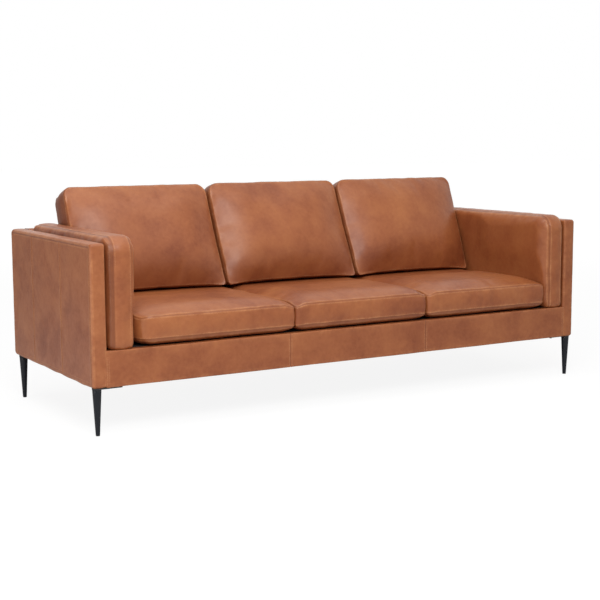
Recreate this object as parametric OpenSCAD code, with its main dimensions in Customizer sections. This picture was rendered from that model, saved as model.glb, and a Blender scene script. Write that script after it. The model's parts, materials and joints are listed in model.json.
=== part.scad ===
// Three-seat leather sofa: slim arm and back shells on a timber base, four turned
// legs, two fixed arm pads, three loose seat cushions and three loose back cushions.
// X runs along the sofa, -Y is the front, Z = 0 is the floor.

/* [Overall] */
// Length over the outer faces of the arm shells
sofa_w = 2200; // [1900:10:2500]
// Depth from the front rail to the outer face of the back
sofa_d = 832; // [800:2:920]
// Height of the arm and back shells above the floor
shell_top = 670; // [640:5:710]
// Height of the highest point of the back cushions
cushion_top = 838; // [800:2:880]

/* [Shells] */
// Thickness of an arm shell over its leather
shell_t = 55; // [50:1:70]
// Thickness of the leather
hide_t = 2; // [1:0.5:3]
// Thickness of the wadding under the shell leather
wadding_t = 8; // [5:0.5:10]
// Radius of the shell edges
edge_r = 9; // [6:1:12]
// Depth of the back unit along its top edge
back_head_t = 64; // [60:1:76]
// Lean of the inner back from upright, in degrees
back_lean = 21.5; // [18:0.5:23]
// Thickness of the foam on the inner back
back_foam_t = 20; // [12:1:22]

/* [Base] */
// Height of the base between its underside and the seat deck
base_h = 128.5; // [118:0.5:145]
// Thickness of the base rails
board_t = 25; // [20:1:28]
// Height of the two cross rails
cross_h = 70; // [50:1:90]
// Side of the triangular corner blocks
block_side = 80; // [76:1:100]
// Height of the corner blocks
block_h = 60; // [40:1:64]
// Thickness of the cloth over the springs
cloth_t = 1; // [0.5:0.5:2]
// Thickness of the felt under that cloth
felt_t = 8; // [5:1:12]

/* [Back frame] */
// Thickness of the plywood ribs
rib_t = 18; // [15:1:22]
// Height of the top rail
head_rail_h = 60; // [40:1:70]
// Depth of the top rail
head_rail_t = 26; // [20:1:27]
// Thickness of the rear panel
panel_t = 8; // [5:1:9]
// Width of a webbing strap
web_w = 45; // [35:1:48]
// Thickness of a webbing strap
web_t = 2; // [1.5:0.5:3]

/* [Springs] */
// Diameter of the spring wire
wire_d = 3.6; // [3:0.1:4]
// Width of a zigzag spring
spring_w = 52; // [44:1:60]
// Distance between the runs of a zigzag spring
spring_pitch = 32; // [28:1:38]
// Thickness of the spring clips
clip_t = 1.2; // [1:0.1:1.6]
// Length of a spring clip along the wire
clip_len = 16; // [12:1:18]

/* [Arm pads] */
// Thickness of an arm pad
pad_t = 100; // [90:1:115]
// Height of the arm pads above the shells
pad_rise = 23; // [15:1:35]
// Radius of the long edges of an arm pad
pad_shoulder = 28; // [16:1:34]
// Radius of the top corners of an arm pad, seen from the side
pad_corner_r = 40; // [36:1:60]

/* [Seat cushions] */
// Height of the side wall of a seat cushion
seat_box = 80; // [70:1:95]
// Rise of its top and bottom beyond the side wall
seat_crown = 26; // [18:1:32]
// Further doming of its top
seat_dome = 12; // [6:1:16]
// Radius of its corners, seen from above
seat_corner_r = 36; // [25:1:50]
// Shift of the left joint between the cushions, off a third of the row
seat_shift_left = 27; // [0:1:30]
// Shift of the right joint between the cushions, off a third of the row
seat_shift_right = 11; // [0:1:30]
// Set-back of the cushions and pads behind the front rail's face
front_setback = 2; // [0.5:0.5:10]

/* [Back cushions] */
// Width of the side wall of a back cushion
back_box = 100; // [86:1:110]
// Swell of its two faces beyond the side wall
back_crown = 42; // [30:1:50]
// Further doming of its front
back_dome = 14; // [6:1:20]
// Radius of its corners, seen from the front
back_corner_r = 46; // [30:1:60]
// Gap between neighbouring back cushions
back_gap = 4.6; // [1:0.2:10]

/* [Legs] */
// Height of the underside of the base above the floor
leg_h = 169; // [140:1:210]
// Diameter of a leg at its top
leg_top_d = 32.5; // [26:0.5:34]
// Diameter of a leg at its foot
leg_foot_d = 15.4; // [12:0.2:20]
// Distance of the leg axes from the ends of the sofa
leg_side = 20.8; // [19.5:0.1:24]
// Distance of the front leg axes from the front
leg_front = 20.3; // [19.5:0.1:24]
// Distance of the rear leg axes from the back
leg_rear = 43.4; // [40:0.1:50]
// Height of the glide under a leg
glide_h = 3; // [2:0.5:6]

/* [Leg plates] */
// Thickness of a leg plate
plate_t = 4; // [3:0.5:5]
// Reach of a plate beyond the leg axis, inwards
plate_reach = 91; // [84:1:96]
// Reach of a plate beyond the leg axis, outwards
plate_margin = 17; // [16:0.5:18]
// The same along its far side, which stays out of sight under the edge
plate_inset = 5; // [3:0.5:8]
// Distance of the first screw from the leg axis
screw_near = 41; // [38:1:46]
// Distance of the second screw from the leg axis
screw_far = 78; // [72:1:80]
// Distance of the third screw from the leg axis, along each side
screw_inner = 64; // [62:1:68]

/* [Fixings] */
// Diameter of the bolts
bolt_d = 8; // [6:0.5:10]
// Length of a leg bolt inside the leg
leg_bolt_low = 40; // [30:1:60]
// Length of a leg bolt above the plate
leg_bolt_high = 24; // [15:1:40]
// Shank diameter of the plate screws
screw_d = 4.4; // [4:0.2:5]
// Length of the plate screws below their head
screw_l = 32; // [25:1:40]
// Head diameter of the plate screws
screw_head_d = 9.6; // [8:0.2:12]

/* [Zips] */
// Length of a cushion zip
zip_l = 460; // [300:10:520]
// Height of a zip
zip_h = 12; // [10:1:16]

/* [Hidden] */
$fn = 48;
// clearances
fit = 0.3;        // between a soft piece and what holds it
thread_fit = 0.05; // around a screwed shank
bolt_fit = 0.2;   // around a bolt that passes through
layer_gap = 0.05; // between the layers of the sloping inner back
eps = 1;          // how far a cut runs past the face it opens
dome_lift = 2;    // how much higher a cushion's front-to-back arc stands than its crosswise arc
wire_lap = 0.02;  // how far a straight run of wire reaches into its bends

half_w = sofa_w / 2;
half_d = sofa_d / 2;
deck_z = leg_h + base_h;
inner_x = half_w - shell_t;              // inner face of an arm shell
base_z = leg_h + hide_t;                 // underside of the timber
arm_h = shell_top - leg_h;
arm_x = (inner_x + half_w) / 2;          // middle of an arm shell
arm_cavity = [shell_t, sofa_d, arm_h] - 2 * hide_t * [1, 1, 1];   // inside its leather

// inner back: a sloping plane from the shell's top edge down to the deck
back_top_y = half_d - back_head_t;
function slope_y(z, inset = 0) =
    back_top_y - (shell_top - z) * tan(back_lean) + inset / cos(back_lean);
function slope_z(y, inset = 0) =
    shell_top - (back_top_y + inset / cos(back_lean) - y) / tan(back_lean);
back_front_y = slope_y(deck_z);

// base
rail_depth = hide_t + wadding_t + board_t;
rail_back_y = -half_d + rail_depth;
rail_top = deck_z - hide_t - wadding_t / 2;
clip_h = wire_d + 2 * clip_t;
spring_seat_z = deck_z - cloth_t - felt_t - clip_h;
rear_rail_y = back_front_y - board_t;    // front face of the rear rail
base_mid_y = (rail_back_y + back_front_y) / 2;
batten_t = 30;                           // spring batten behind the front rail
batten_h = 30;

// springs
springs_per_seat = 4;
wire_z = spring_seat_z + clip_t + wire_d / 2;
spring_y0 = rail_back_y + batten_t / 2;
spring_y1 = rear_rail_y + board_t / 2;
spring_runs = 2 * floor((spring_y1 - spring_y0) / spring_pitch / 2) + 1;
run_gap = round(100 * (spring_y1 - spring_y0) / (spring_runs - 1)) / 100;
reach = round(50 * (spring_w - wire_d - run_gap)) / 100;   // half the straight part of a run
clip_foot = 14;                          // width of the foot of a spring clip

// back frame
web_in = hide_t + back_foam_t;           // depth of the webbing under the inner back
rib_in = web_in + web_t + layer_gap;
panel_y = half_d - hide_t - panel_t;     // front face of the rear panel
head_rail_z = shell_top - hide_t - wadding_t - head_rail_h;
low_rail_y = back_front_y + hide_t;      // front face of the lower rail of the back
rib_front_y = low_rail_y + board_t;
rib_end_x = inner_x - hide_t - rib_t / 2;
rib_count = 6;
rib_xs = [for (i = [0 : rib_count - 1]) rib_end_x * (2 * i / (rib_count - 1) - 1)];
web_count = 5;
block_margin = 20;                       // timber beyond the outermost screw in a rear leg block

// cushions
pad_x = inner_x - pad_t;                 // inner face of an arm pad
pad_top = shell_top + pad_rise;
pad_tail = 6;                            // an arm pad ends this far before the shell's top edge
front_y = -half_d + front_setback;
seat_h = seat_box + 2 * seat_crown;
seat_pitch = (2 * pad_x - 2 * fit) / 3;
seat_edges = [-1.5 * seat_pitch, -0.5 * seat_pitch + seat_shift_left,
    0.5 * seat_pitch + seat_shift_right, 1.5 * seat_pitch];
seat_back_y = back_front_y - hide_t;
seat_d = seat_back_y - front_y;
seat_mid_y = (front_y + seat_back_y) / 2;
seat_z = deck_z + fit;
seat_top = seat_z + seat_h;
seat_shoulder = seat_crown + 20;         // radius that rolls the side wall into the face
seam_x = seat_pitch / 2;
back_h = back_box + 2 * back_crown;
back_w = seat_pitch - back_gap;
back_shoulder = back_crown + 20;
back_low = -(back_crown + back_box) * tan(back_lean);
back_high = (cushion_top - seat_top - (back_crown + back_box) * sin(back_lean)) / cos(back_lean);
zip_y = slope_y(seat_top) - back_crown;  // zip of a back cushion, in its underside

// fixings
leg_top_z = leg_h - plate_t;
leg_spots = [               // axis of each leg, the turn of its plate and which way up that lies
    [-(half_w - leg_side), -(half_d - leg_front), 0, 1],
    [half_w - leg_side, -(half_d - leg_front), 90, 1],
    [half_w - leg_side, half_d - leg_rear, 180, 1],
    [-(half_w - leg_side), half_d - leg_rear, 0, -1]
];
glide_rim = 0.4;                         // bare foot around a glide
glide_pin_d = 3;
glide_pin_h = 14;
end_gap = 0.5;                           // room past the end of a pin or bolt in its hole
leg_bolt_room = 2;                       // room around a leg bolt in the timber
plate_corner_r = 6;
plate_clip = 30;                         // how much of the inner corner of a plate is cut off
screw_in = 4;                            // the second screw, in from the leg axis
screw_spots = [[screw_near, 0], [screw_in, screw_far], [screw_inner, screw_inner]];
screw_head_h = 3;
head_d = 14.4;
head_h = 5.5;
flange_d = 18;
flange_h = 1.5;
bolt_bite = 22;                          // length of a bolt in the last board
arm_bolt_l = board_t + 2 * hide_t + wadding_t + bolt_bite;
end_bolt_l = rib_t + 3 * hide_t + wadding_t + bolt_bite;
back_bolt_l = board_t + hide_t + bolt_bite;
arm_bolt_drop = 30;                      // arm bolts below the springs
arm_bolt_z = spring_seat_z - arm_bolt_drop;
arm_bolt_ys = [for (i = [0 : 2]) rail_back_y + (i + 0.5) * (back_front_y - rail_back_y) / 3];
back_bolt_rise = 60;                     // back bolts above the underside of the timber
back_bolt_z = base_z + back_bolt_rise;
back_bolt_xs = [-0.8, -0.45, 0.45, 0.8] * inner_x;
end_bolt_rises = [100, 300];             // end bolts above the underside of the timber
end_bolt_zs = [for (r = end_bolt_rises) base_z + r];
end_bolt_in = 40;                        // end bolts in front of the rear panel
end_bolt_y = panel_y - end_bolt_in;

// colours
hide_colour = [0.62, 0.36, 0.22];
timber_colour = [0.80, 0.66, 0.46];
ply_colour = [0.86, 0.74, 0.56];
foam_colour = [0.93, 0.89, 0.72];
wadding_colour = [0.95, 0.95, 0.93];
cloth_colour = [0.16, 0.15, 0.15];
leg_colour = [0.08, 0.08, 0.09];
steel_colour = [0.62, 0.63, 0.65];

// ---- shared shapes -------------------------------------------------------

// Rectangle with round corners, centred.
module round_rect(w, d, r) {
    square([w - 2 * r, d], center = true);
    square([w, d - 2 * r], center = true);
    for (x = [-1, 1], y = [-1, 1])
        translate([x * (w / 2 - r), y * (d / 2 - r)]) circle(r);
}

// Extrudes an outline drawn in Y and Z along X, centred.
module along_x(length) {
    rotate([90, 0, 90]) linear_extrude(length, center = true) children();
}

// Extrudes an outline drawn in X and Z along Y, centred.
module along_y(length) {
    rotate([90, 0, 0]) linear_extrude(length, center = true) children();
}

// Block with every edge round, centred.
module rounded_block(size, r) {
    intersection() {
        linear_extrude(size.z, center = true) round_rect(size.x, size.y, r);
        along_y(size.y) round_rect(size.x, size.z, r);
        along_x(size.x) round_rect(size.y, size.z, r);
    }
}

// Box between two corners.
module box(low, high) {
    translate(low) cube(high - low);
}

// Side view of a boxed cushion: side walls box_h high, faces rising crown beyond them
// over a shoulder of radius r. The upper face domes by dome, under an arc whose top
// passes lift above the face.
module cushion_outline(w, box_h, crown, r, dome, lift) {
    h = box_h + 2 * crown;
    spread = r - sqrt(r * r - pow(r - crown, 2));
    dome_r = (w * w / 4 + dome * dome) / (2 * dome);
    intersection() {
        round_rect(w + 2 * spread, h, r);
        translate([0, h / 2 + lift - dome_r]) circle(dome_r, $fn = 180);
    }
}

// Boxed cushion lying flat, centred, w by d over its side walls.
module boxed_cushion(w, d, box_h, crown, r, dome, corner_r) {
    intersection() {
        linear_extrude(2 * (box_h + crown), center = true) round_rect(w, d, corner_r);
        along_y(d + 2 * eps) cushion_outline(w, box_h, crown, r, dome, 0);
        along_x(w + 2 * eps) cushion_outline(d, box_h, crown, r, dome, dome_lift);
    }
}

// ---- legs ----------------------------------------------------------------

// Puts a piece at leg i, turned so that its +X points inwards.
module at_leg(i) {
    translate([leg_spots[i].x, leg_spots[i].y, 0]) rotate(leg_spots[i].z) children();
}

// Puts a piece at each screw of the plate of leg i.
module at_screws(i) {
    at_leg(i) for (s = screw_spots) translate([s.x, leg_spots[i][3] * s.y, 0]) children();
}

// Holes through timber and leather for the plate screws and the leg bolts.
module plate_fixing_holes(z) {
    for (i = [0 : 3]) {
        at_screws(i) translate([0, 0, z - eps])
            cylinder(h = screw_l + eps, d = screw_d + 2 * thread_fit);
        at_leg(i) translate([0, 0, z - eps])
            cylinder(h = leg_bolt_high + 2 * eps, d = bolt_d + 2 * leg_bolt_room);
    }
}

module leg(i) {
    color(leg_colour) at_leg(i) difference() {
        translate([0, 0, glide_h])
            cylinder(h = leg_top_z - glide_h, d1 = leg_foot_d, d2 = leg_top_d);
        translate([0, 0, leg_top_z - leg_bolt_low])
            cylinder(h = leg_bolt_low + eps, d = bolt_d + 2 * thread_fit);
        cylinder(h = glide_h + glide_pin_h, d = glide_pin_d + 2 * thread_fit);
    }
}

module leg_glides() {
    color(leg_colour) for (i = [0 : 3]) at_leg(i) {
        cylinder(h = glide_h, d = leg_foot_d - 2 * glide_rim);
        cylinder(h = glide_h + glide_pin_h - end_gap, d = glide_pin_d);
    }
}

// Outline of a plate: a square round the leg, its inner corner cut off and one side set in.
module plate_outline(way) {
    side = plate_reach + plate_margin;
    clip = 2 * plate_reach - plate_clip;
    circle(r = plate_margin);
    intersection() {
        translate([(plate_reach - plate_inset) / 2, way * (plate_reach - plate_margin) / 2])
            round_rect(plate_reach + plate_inset, side, plate_corner_r);
        polygon([[-side, -way * side], [clip + side, -way * side], [-side, way * (clip + side)]]);
    }
}

module leg_plates() {
    color(steel_colour) for (i = [0 : 3]) difference() {
        at_leg(i) translate([0, 0, leg_top_z]) linear_extrude(plate_t) plate_outline(leg_spots[i][3]);
        at_leg(i) translate([0, 0, leg_top_z - eps])
            cylinder(h = plate_t + 2 * eps, d = bolt_d + 2 * thread_fit);
        at_screws(i) translate([0, 0, leg_top_z - eps])
            cylinder(h = plate_t + 2 * eps, d = screw_d + 2 * bolt_fit);
    }
}

module leg_bolts() {
    color(steel_colour) for (i = [0 : 3]) at_leg(i)
        translate([0, 0, leg_top_z - leg_bolt_low + end_gap])
            cylinder(h = leg_bolt_low + plate_t + leg_bolt_high - end_gap, d = bolt_d);
}

module plate_screws() {
    color(steel_colour) for (i = [0 : 3]) at_screws(i) translate([0, 0, leg_top_z]) {
        translate([0, 0, -screw_head_h]) cylinder(h = screw_head_h, d = screw_head_d);
        cylinder(h = screw_l, d = screw_d);
    }
}

// ---- base ----------------------------------------------------------------

module front_rail() {
    color(timber_colour) difference() {
        box([-inner_x, -half_d + hide_t + wadding_t, base_z], [inner_x, rail_back_y, rail_top]);
        plate_fixing_holes(base_z);
    }
}

module side_rails() {
    color(timber_colour) for (s = [-1, 1]) difference() {
        translate([s * (inner_x - board_t / 2), base_mid_y, (base_z + spring_seat_z) / 2])
            cube([board_t, back_front_y - rail_back_y, spring_seat_z - base_z], center = true);
        frame_bolt_holes();
    }
}

module rear_rail() {
    color(timber_colour) difference() {
        box([-(inner_x - board_t), rear_rail_y, base_z], [inner_x - board_t, back_front_y, spring_seat_z]);
        frame_bolt_holes();
    }
}

module cross_rails() {
    color(timber_colour) for (s = [-1, 1])
        translate([s * seam_x - board_t / 2, rail_back_y, base_z])
            cube([board_t, rear_rail_y - rail_back_y, cross_h]);
}

module corner_blocks() {
    x = inner_x - board_t;
    color(timber_colour) difference() {
        for (s = [-1, 1]) translate([0, 0, base_z]) linear_extrude(block_h) {
            polygon([[s * x, rail_back_y], [s * (x - block_side), rail_back_y],
                [s * x, rail_back_y + block_side]]);
            polygon([[s * x, rear_rail_y], [s * (x - block_side), rear_rail_y],
                [s * x, rear_rail_y - block_side]]);
        }
        plate_fixing_holes(base_z);
    }
}

module spring_batten() {
    x = inner_x - board_t;
    color(timber_colour)
        box([-x, rail_back_y, spring_seat_z - batten_h], [x, rail_back_y + batten_t, spring_seat_z]);
}

// X positions of the four zigzag springs under seat k (-1, 0 or 1).
function spring_xs(k) =
    [for (i = [0 : springs_per_seat - 1]) k * seat_pitch + seat_pitch * ((i + 0.5) / springs_per_seat - 0.5)];

module zigzag_spring() {
    for (i = [0 : spring_runs - 1]) translate([0, i * run_gap, 0]) {
        rotate([0, 90, 0]) cylinder(h = 2 * reach + wire_lap, d = wire_d, center = true);
        if (i < spring_runs - 1)
            translate([(i % 2 == 0 ? 1 : -1) * reach, run_gap / 2, 0])
                rotate(i % 2 == 0 ? -90 : 90)
                    rotate_extrude(angle = 180) translate([run_gap / 2, 0]) circle(d = wire_d);
    }
}

module springs(k) {
    color(steel_colour) for (x = spring_xs(k)) translate([x, spring_y0, wire_z]) zigzag_spring();
}

// Clip that holds one end run of a spring down on its rail.
module spring_clip() {
    bore = wire_d + 2 * thread_fit;
    translate([0, 0, -wire_d / 2 - clip_t]) difference() {
        union() {
            translate([-clip_len / 2, -clip_foot / 2, 0]) cube([clip_len, clip_foot, clip_t]);
            translate([0, 0, clip_t + wire_d / 2]) rotate([0, 90, 0])
                cylinder(h = clip_len, d = wire_d + 2 * clip_t, center = true);
        }
        translate([0, 0, clip_t + wire_d / 2]) rotate([0, 90, 0])
            cylinder(h = clip_len + 2 * eps, d = bore, center = true);
    }
}

module spring_clips() {
    color(steel_colour) for (k = [-1 : 1], x = spring_xs(k), y = [spring_y0, spring_y1])
        translate([x, y, wire_z]) spring_clip();
}

module deck_layer(z0, z1) {
    box([-inner_x, rail_back_y, z0], [inner_x, back_front_y, z1]);
}

module deck_felt() {
    color(wadding_colour) deck_layer(deck_z - cloth_t - felt_t, deck_z - cloth_t);
}

module deck_cloth() {
    color(cloth_colour) deck_layer(deck_z - cloth_t, deck_z);
}

module dust_cover() {
    color(cloth_colour) difference() {
        box([-inner_x, rail_back_y, leg_h], [inner_x, back_front_y, base_z]);
        plate_fixing_holes(leg_h);
    }
}

// Section through the front rail's upholstery, moved in by inset.
module rail_section(inset) {
    r = max(edge_r - inset, 1);
    intersection() {
        translate([rail_back_y, (leg_h + deck_z) / 2])
            round_rect(2 * (rail_depth - inset), base_h - 2 * inset, r);
        translate([-half_d, leg_h]) square([rail_depth, base_h]);
    }
}

module front_rail_wadding() {
    color(wadding_colour) along_x(2 * inner_x) difference() {
        rail_section(hide_t + fit);
        translate([-half_d + hide_t + wadding_t, leg_h]) square([board_t + eps, rail_top - leg_h]);
    }
}

module front_rail_cover() {
    color(hide_colour) difference() {
        along_x(2 * inner_x) difference() {
            rail_section(0);
            rail_section(hide_t);
            translate([rail_back_y - eps, base_z]) square([2 * eps, base_h - 2 * hide_t]);
        }
        plate_fixing_holes(leg_h);
    }
}

// ---- arm shells ----------------------------------------------------------

module at_arm(side) {
    translate([side * arm_x, 0, (leg_h + shell_top) / 2]) children();
}

module arm_board_box(side) {
    low_z = base_z;
    high_z = shell_top - hide_t - wadding_t;
    size = [arm_cavity.x - 2 * wadding_t, arm_cavity.y - 2 * wadding_t, high_z - low_z];
    translate([side * arm_x, 0, (low_z + high_z) / 2]) cube(size, center = true);
}

module arm_board(side) {
    color(ply_colour) difference() {
        arm_board_box(side);
        plate_fixing_holes(base_z);
        frame_bolt_holes();
    }
}

module arm_wadding(side) {
    color(wadding_colour) difference() {
        at_arm(side) rounded_block(arm_cavity - 2 * fit * [1, 1, 1], edge_r - hide_t);
        arm_board_box(side);
        frame_bolt_holes();
    }
}

module arm_cover(side) {
    color(hide_colour) difference() {
        at_arm(side) rounded_block([shell_t, sofa_d, arm_h], edge_r);
        at_arm(side) rounded_block(arm_cavity, edge_r - hide_t);
        plate_fixing_holes(leg_h);
        frame_bolt_holes();
    }
}

// ---- bolts between the units ---------------------------------------------

// Each of these places a child, drawn along +Z from the face its head rests on.
// Three bolts go through each side rail.
module at_side_bolts() {
    for (s = [-1, 1], y = arm_bolt_ys)
        translate([s * (inner_x - board_t), y, arm_bolt_z]) rotate([0, s * 90, 0]) children();
}
// Two bolts go through each end rib.
module at_end_bolts() {
    for (s = [-1, 1], z = end_bolt_zs)
        translate([s * (rib_end_x - rib_t / 2), end_bolt_y, z]) rotate([0, s * 90, 0]) children();
}
// Four bolts go through the rear rail.
module at_back_bolts() {
    for (x = back_bolt_xs)
        translate([x, rear_rail_y, back_bolt_z]) rotate([-90, 0, 0]) children();
}

module frame_bolt(length) {
    cylinder(h = length, d = bolt_d);
    translate([0, 0, -flange_h]) cylinder(h = flange_h, d = flange_d);
    translate([0, 0, -flange_h - head_h]) cylinder(h = head_h, d = head_d, $fn = 6);
}

module frame_bolts() {
    color(steel_colour) {
        at_side_bolts() frame_bolt(arm_bolt_l);
        at_end_bolts() frame_bolt(end_bolt_l);
        at_back_bolts() frame_bolt(back_bolt_l);
    }
}

module bolt_hole(length) {
    cylinder(h = length + eps, d = bolt_d + 2 * bolt_fit);
}

module frame_bolt_holes() {
    at_side_bolts() bolt_hole(arm_bolt_l);
    at_end_bolts() bolt_hole(end_bolt_l);
    at_back_bolts() bolt_hole(back_bolt_l);
}

// ---- back unit -----------------------------------------------------------

// Section through the back unit, moved in by inset on every side.
module back_section(inset) {
    r = edge_r - inset;
    low = leg_h + inset;
    high = shell_top - inset;
    front = back_front_y + inset;
    rear = half_d - inset;
    intersection() {
        polygon([[front, low], [rear, low], [rear, high], [slope_y(high, inset), high],
            [front, slope_z(front, inset)]]);
        translate([0, (low + high) / 2]) round_rect(2 * rear, high - low, r);
    }
}

module back_ribs() {
    color(ply_colour) difference() {
        for (x = rib_xs) translate([x, 0, 0]) along_x(rib_t)
            polygon([[rib_front_y, base_z], [panel_y, base_z], [panel_y, head_rail_z],
                [slope_y(head_rail_z, rib_in), head_rail_z],
                [rib_front_y, slope_z(rib_front_y, rib_in)]]);
        plate_fixing_holes(base_z);
        frame_bolt_holes();
    }
}

module back_low_rail() {
    x = inner_x - hide_t;
    color(timber_colour) difference() {
        box([-x, low_rail_y, base_z], [x, rib_front_y, spring_seat_z]);
        frame_bolt_holes();
    }
}

module back_head_rail() {
    x = inner_x - hide_t;
    color(timber_colour)
        box([-x, panel_y - head_rail_t, head_rail_z], [x, panel_y, head_rail_z + head_rail_h]);
}

module back_leg_blocks() {
    x1 = rib_end_x - rib_t / 2;
    x0 = half_w - leg_side - screw_far - block_margin;
    y0 = half_d - leg_rear - screw_far - block_margin;
    color(timber_colour) difference() {
        for (s = [-1, 1]) translate([s * (x0 + x1) / 2, (y0 + panel_y) / 2, base_z + block_h / 2])
            cube([x1 - x0, panel_y - y0, block_h], center = true);
        plate_fixing_holes(base_z);
    }
}

module back_panel() {
    x = inner_x - hide_t;
    color(ply_colour)
        box([-x, panel_y, leg_h + edge_r + fit], [x, half_d - hide_t, head_rail_z + head_rail_h]);
}

module back_webbing() {
    z0 = slope_z(rib_front_y, rib_in) + web_w;
    z1 = head_rail_z - web_w;
    color(cloth_colour) along_x(2 * (inner_x - hide_t)) for (i = [0 : web_count - 1]) {
        z = z0 + (z1 - z0) * i / (web_count - 1);
        translate([slope_y(z, web_in), z]) rotate(90 - back_lean)
            translate([-web_w / 2, -web_t]) square([web_w, web_t]);
    }
}

module back_foam() {
    low = deck_z + hide_t;
    high = shell_top - hide_t - fit - (edge_r - hide_t);
    color(foam_colour) along_x(2 * (inner_x - hide_t - fit))
        polygon([[slope_y(low, hide_t + fit), low], [slope_y(low, web_in - layer_gap), low],
            [slope_y(high, web_in - layer_gap), high], [slope_y(high, hide_t + fit), high]]);
}

module back_cover() {
    color(hide_colour) difference() {
        along_x(2 * inner_x) back_section(0);
        along_x(2 * (inner_x - hide_t)) back_section(hide_t);
        plate_fixing_holes(leg_h);
        frame_bolt_holes();
    }
}

// ---- arm pads ------------------------------------------------------------

// Side view of an arm pad: square at the deck, round at its top corners, cut
// along the slope of the inner back.
module pad_side(inset) {
    tail_y = slope_y(shell_top) - pad_tail;
    run = tail_y - front_y;
    intersection() {
        translate([(front_y + tail_y) / 2, deck_z])
            round_rect(run - 2 * inset, 2 * (pad_top - deck_z - inset), pad_corner_r - inset);
        polygon([[front_y, deck_z + fit + inset],
            [slope_y(deck_z + fit + inset, -fit - inset), deck_z + fit + inset],
            [slope_y(pad_top, -fit - inset), pad_top], [front_y, pad_top]]);
    }
}

// Front view of an arm pad, round along its two top edges.
module pad_front(inset) {
    translate([0, deck_z])
        round_rect(pad_t - fit - 2 * inset, 2 * (pad_top - deck_z - inset), pad_shoulder - inset);
}

// Plan of an arm pad, round at its two front edges.
module pad_plan(inset) {
    round_rect(pad_t - fit - 2 * inset, 2 * (-front_y - inset), pad_shoulder - inset);
}

module pad_solid(side, inset) {
    translate([side * (inner_x - fit - (pad_t - fit) / 2), 0, 0]) intersection() {
        along_x(pad_t) pad_side(inset);
        along_y(sofa_d) pad_front(inset);
        linear_extrude(2 * shell_top) pad_plan(inset);
    }
}

module arm_pad_core(side) {
    color(foam_colour) pad_solid(side, hide_t + fit);
}

module arm_pad_cover(side) {
    color(hide_colour) difference() {
        pad_solid(side, 0);
        pad_solid(side, hide_t);
    }
}

// ---- seat cushions -------------------------------------------------------

// Middle and width of seat cushion k (-1, 0 or 1).
function seat_mid(k) = (seat_edges[k + 1] + seat_edges[k + 2]) / 2;
function seat_w(k) = seat_edges[k + 2] - seat_edges[k + 1] - 2 * fit;

module seat_solid(k, inset) {
    translate([seat_mid(k), seat_mid_y, seat_z + seat_h / 2])
        boxed_cushion(seat_w(k) - 2 * inset, seat_d - 2 * inset, seat_box - 2 * inset,
            seat_crown, seat_shoulder, seat_dome, seat_corner_r - inset);
}

// Opening for the zip in the rear wall of the cover.
module seat_zip_box(k, grow) {
    translate([seat_mid(k), seat_back_y - hide_t / 2, seat_z + seat_h / 2])
        cube([zip_l + 2 * grow, hide_t, zip_h + 2 * grow], center = true);
}

module seat_core(k) {
    color(foam_colour) seat_solid(k, hide_t + fit);
}

module seat_cover(k) {
    color(hide_colour) difference() {
        seat_solid(k, 0);
        seat_solid(k, hide_t);
        translate([0, eps / 2, 0]) seat_zip_box(k, fit / 2);
        translate([0, -eps / 2, 0]) seat_zip_box(k, fit / 2);
    }
}

module seat_zip(k) {
    color(cloth_colour) seat_zip_box(k, 0);
}

// ---- back cushions -------------------------------------------------------

// Back cushion on the slope: flat where it lies on the inner back and where it
// stands on the seat cushions.
module back_solid(k, inset) {
    z_low = seat_top + fit + inset;
    intersection() {
        translate([k * seat_pitch, slope_y(seat_top), seat_top]) rotate([90 - back_lean, 0, 0])
            translate([0, (back_low + back_high) / 2, fit + back_h / 2])
                boxed_cushion(back_w - 2 * inset, back_high - back_low - 2 * inset,
                    back_box - 2 * inset, back_crown, back_shoulder, back_dome,
                    back_corner_r - inset);
        box([-sofa_w, -half_d, z_low], [sofa_w, sofa_d, cushion_top + sofa_d]);
    }
}

// Opening for the zip in the underside of the cover.
module back_zip_box(k, grow) {
    translate([k * seat_pitch, zip_y, seat_top + fit + hide_t / 2])
        cube([zip_l + 2 * grow, zip_h + 2 * grow, hide_t], center = true);
}

module back_fill(k) {
    color(wadding_colour) back_solid(k, hide_t + fit);
}

module back_cushion_cover(k) {
    color(hide_colour) difference() {
        back_solid(k, 0);
        back_solid(k, hide_t);
        translate([0, 0, eps / 2]) back_zip_box(k, fit / 2);
        translate([0, 0, -eps / 2]) back_zip_box(k, fit / 2);
    }
}

module back_zip(k) {
    color(cloth_colour) back_zip_box(k, 0);
}

// ---- nodes ---------------------------------------------------------------

leg(0);  // leg_front_left
leg(1);  // leg_front_right
leg(2);  // leg_rear_right
leg(3);  // leg_rear_left
leg_glides();
leg_plates();
leg_bolts();
plate_screws();
front_rail();
side_rails();
rear_rail();
cross_rails();
corner_blocks();
spring_batten();
springs(-1);  // springs_left
springs(0);  // springs_middle
springs(1);  // springs_right
spring_clips();
deck_felt();
deck_cloth();
dust_cover();
front_rail_wadding();
front_rail_cover();
arm_board(-1);  // arm_board_left
arm_board(1);  // arm_board_right
arm_wadding(-1);  // arm_wadding_left
arm_wadding(1);  // arm_wadding_right
arm_cover(-1);  // arm_cover_left
arm_cover(1);  // arm_cover_right
frame_bolts();
back_ribs();
back_low_rail();
back_head_rail();
back_leg_blocks();
back_panel();
back_webbing();
back_foam();
back_cover();
arm_pad_core(-1);  // arm_pad_core_left
arm_pad_core(1);  // arm_pad_core_right
arm_pad_cover(-1);  // arm_pad_cover_left
arm_pad_cover(1);  // arm_pad_cover_right
seat_core(-1);  // seat_core_left
seat_core(0);  // seat_core_middle
seat_core(1);  // seat_core_right
seat_cover(-1);  // seat_cover_left
seat_cover(0);  // seat_cover_middle
seat_cover(1);  // seat_cover_right
seat_zip(-1);  // seat_zip_left
seat_zip(0);  // seat_zip_middle
seat_zip(1);  // seat_zip_right
back_fill(-1);  // back_fill_left
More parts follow.
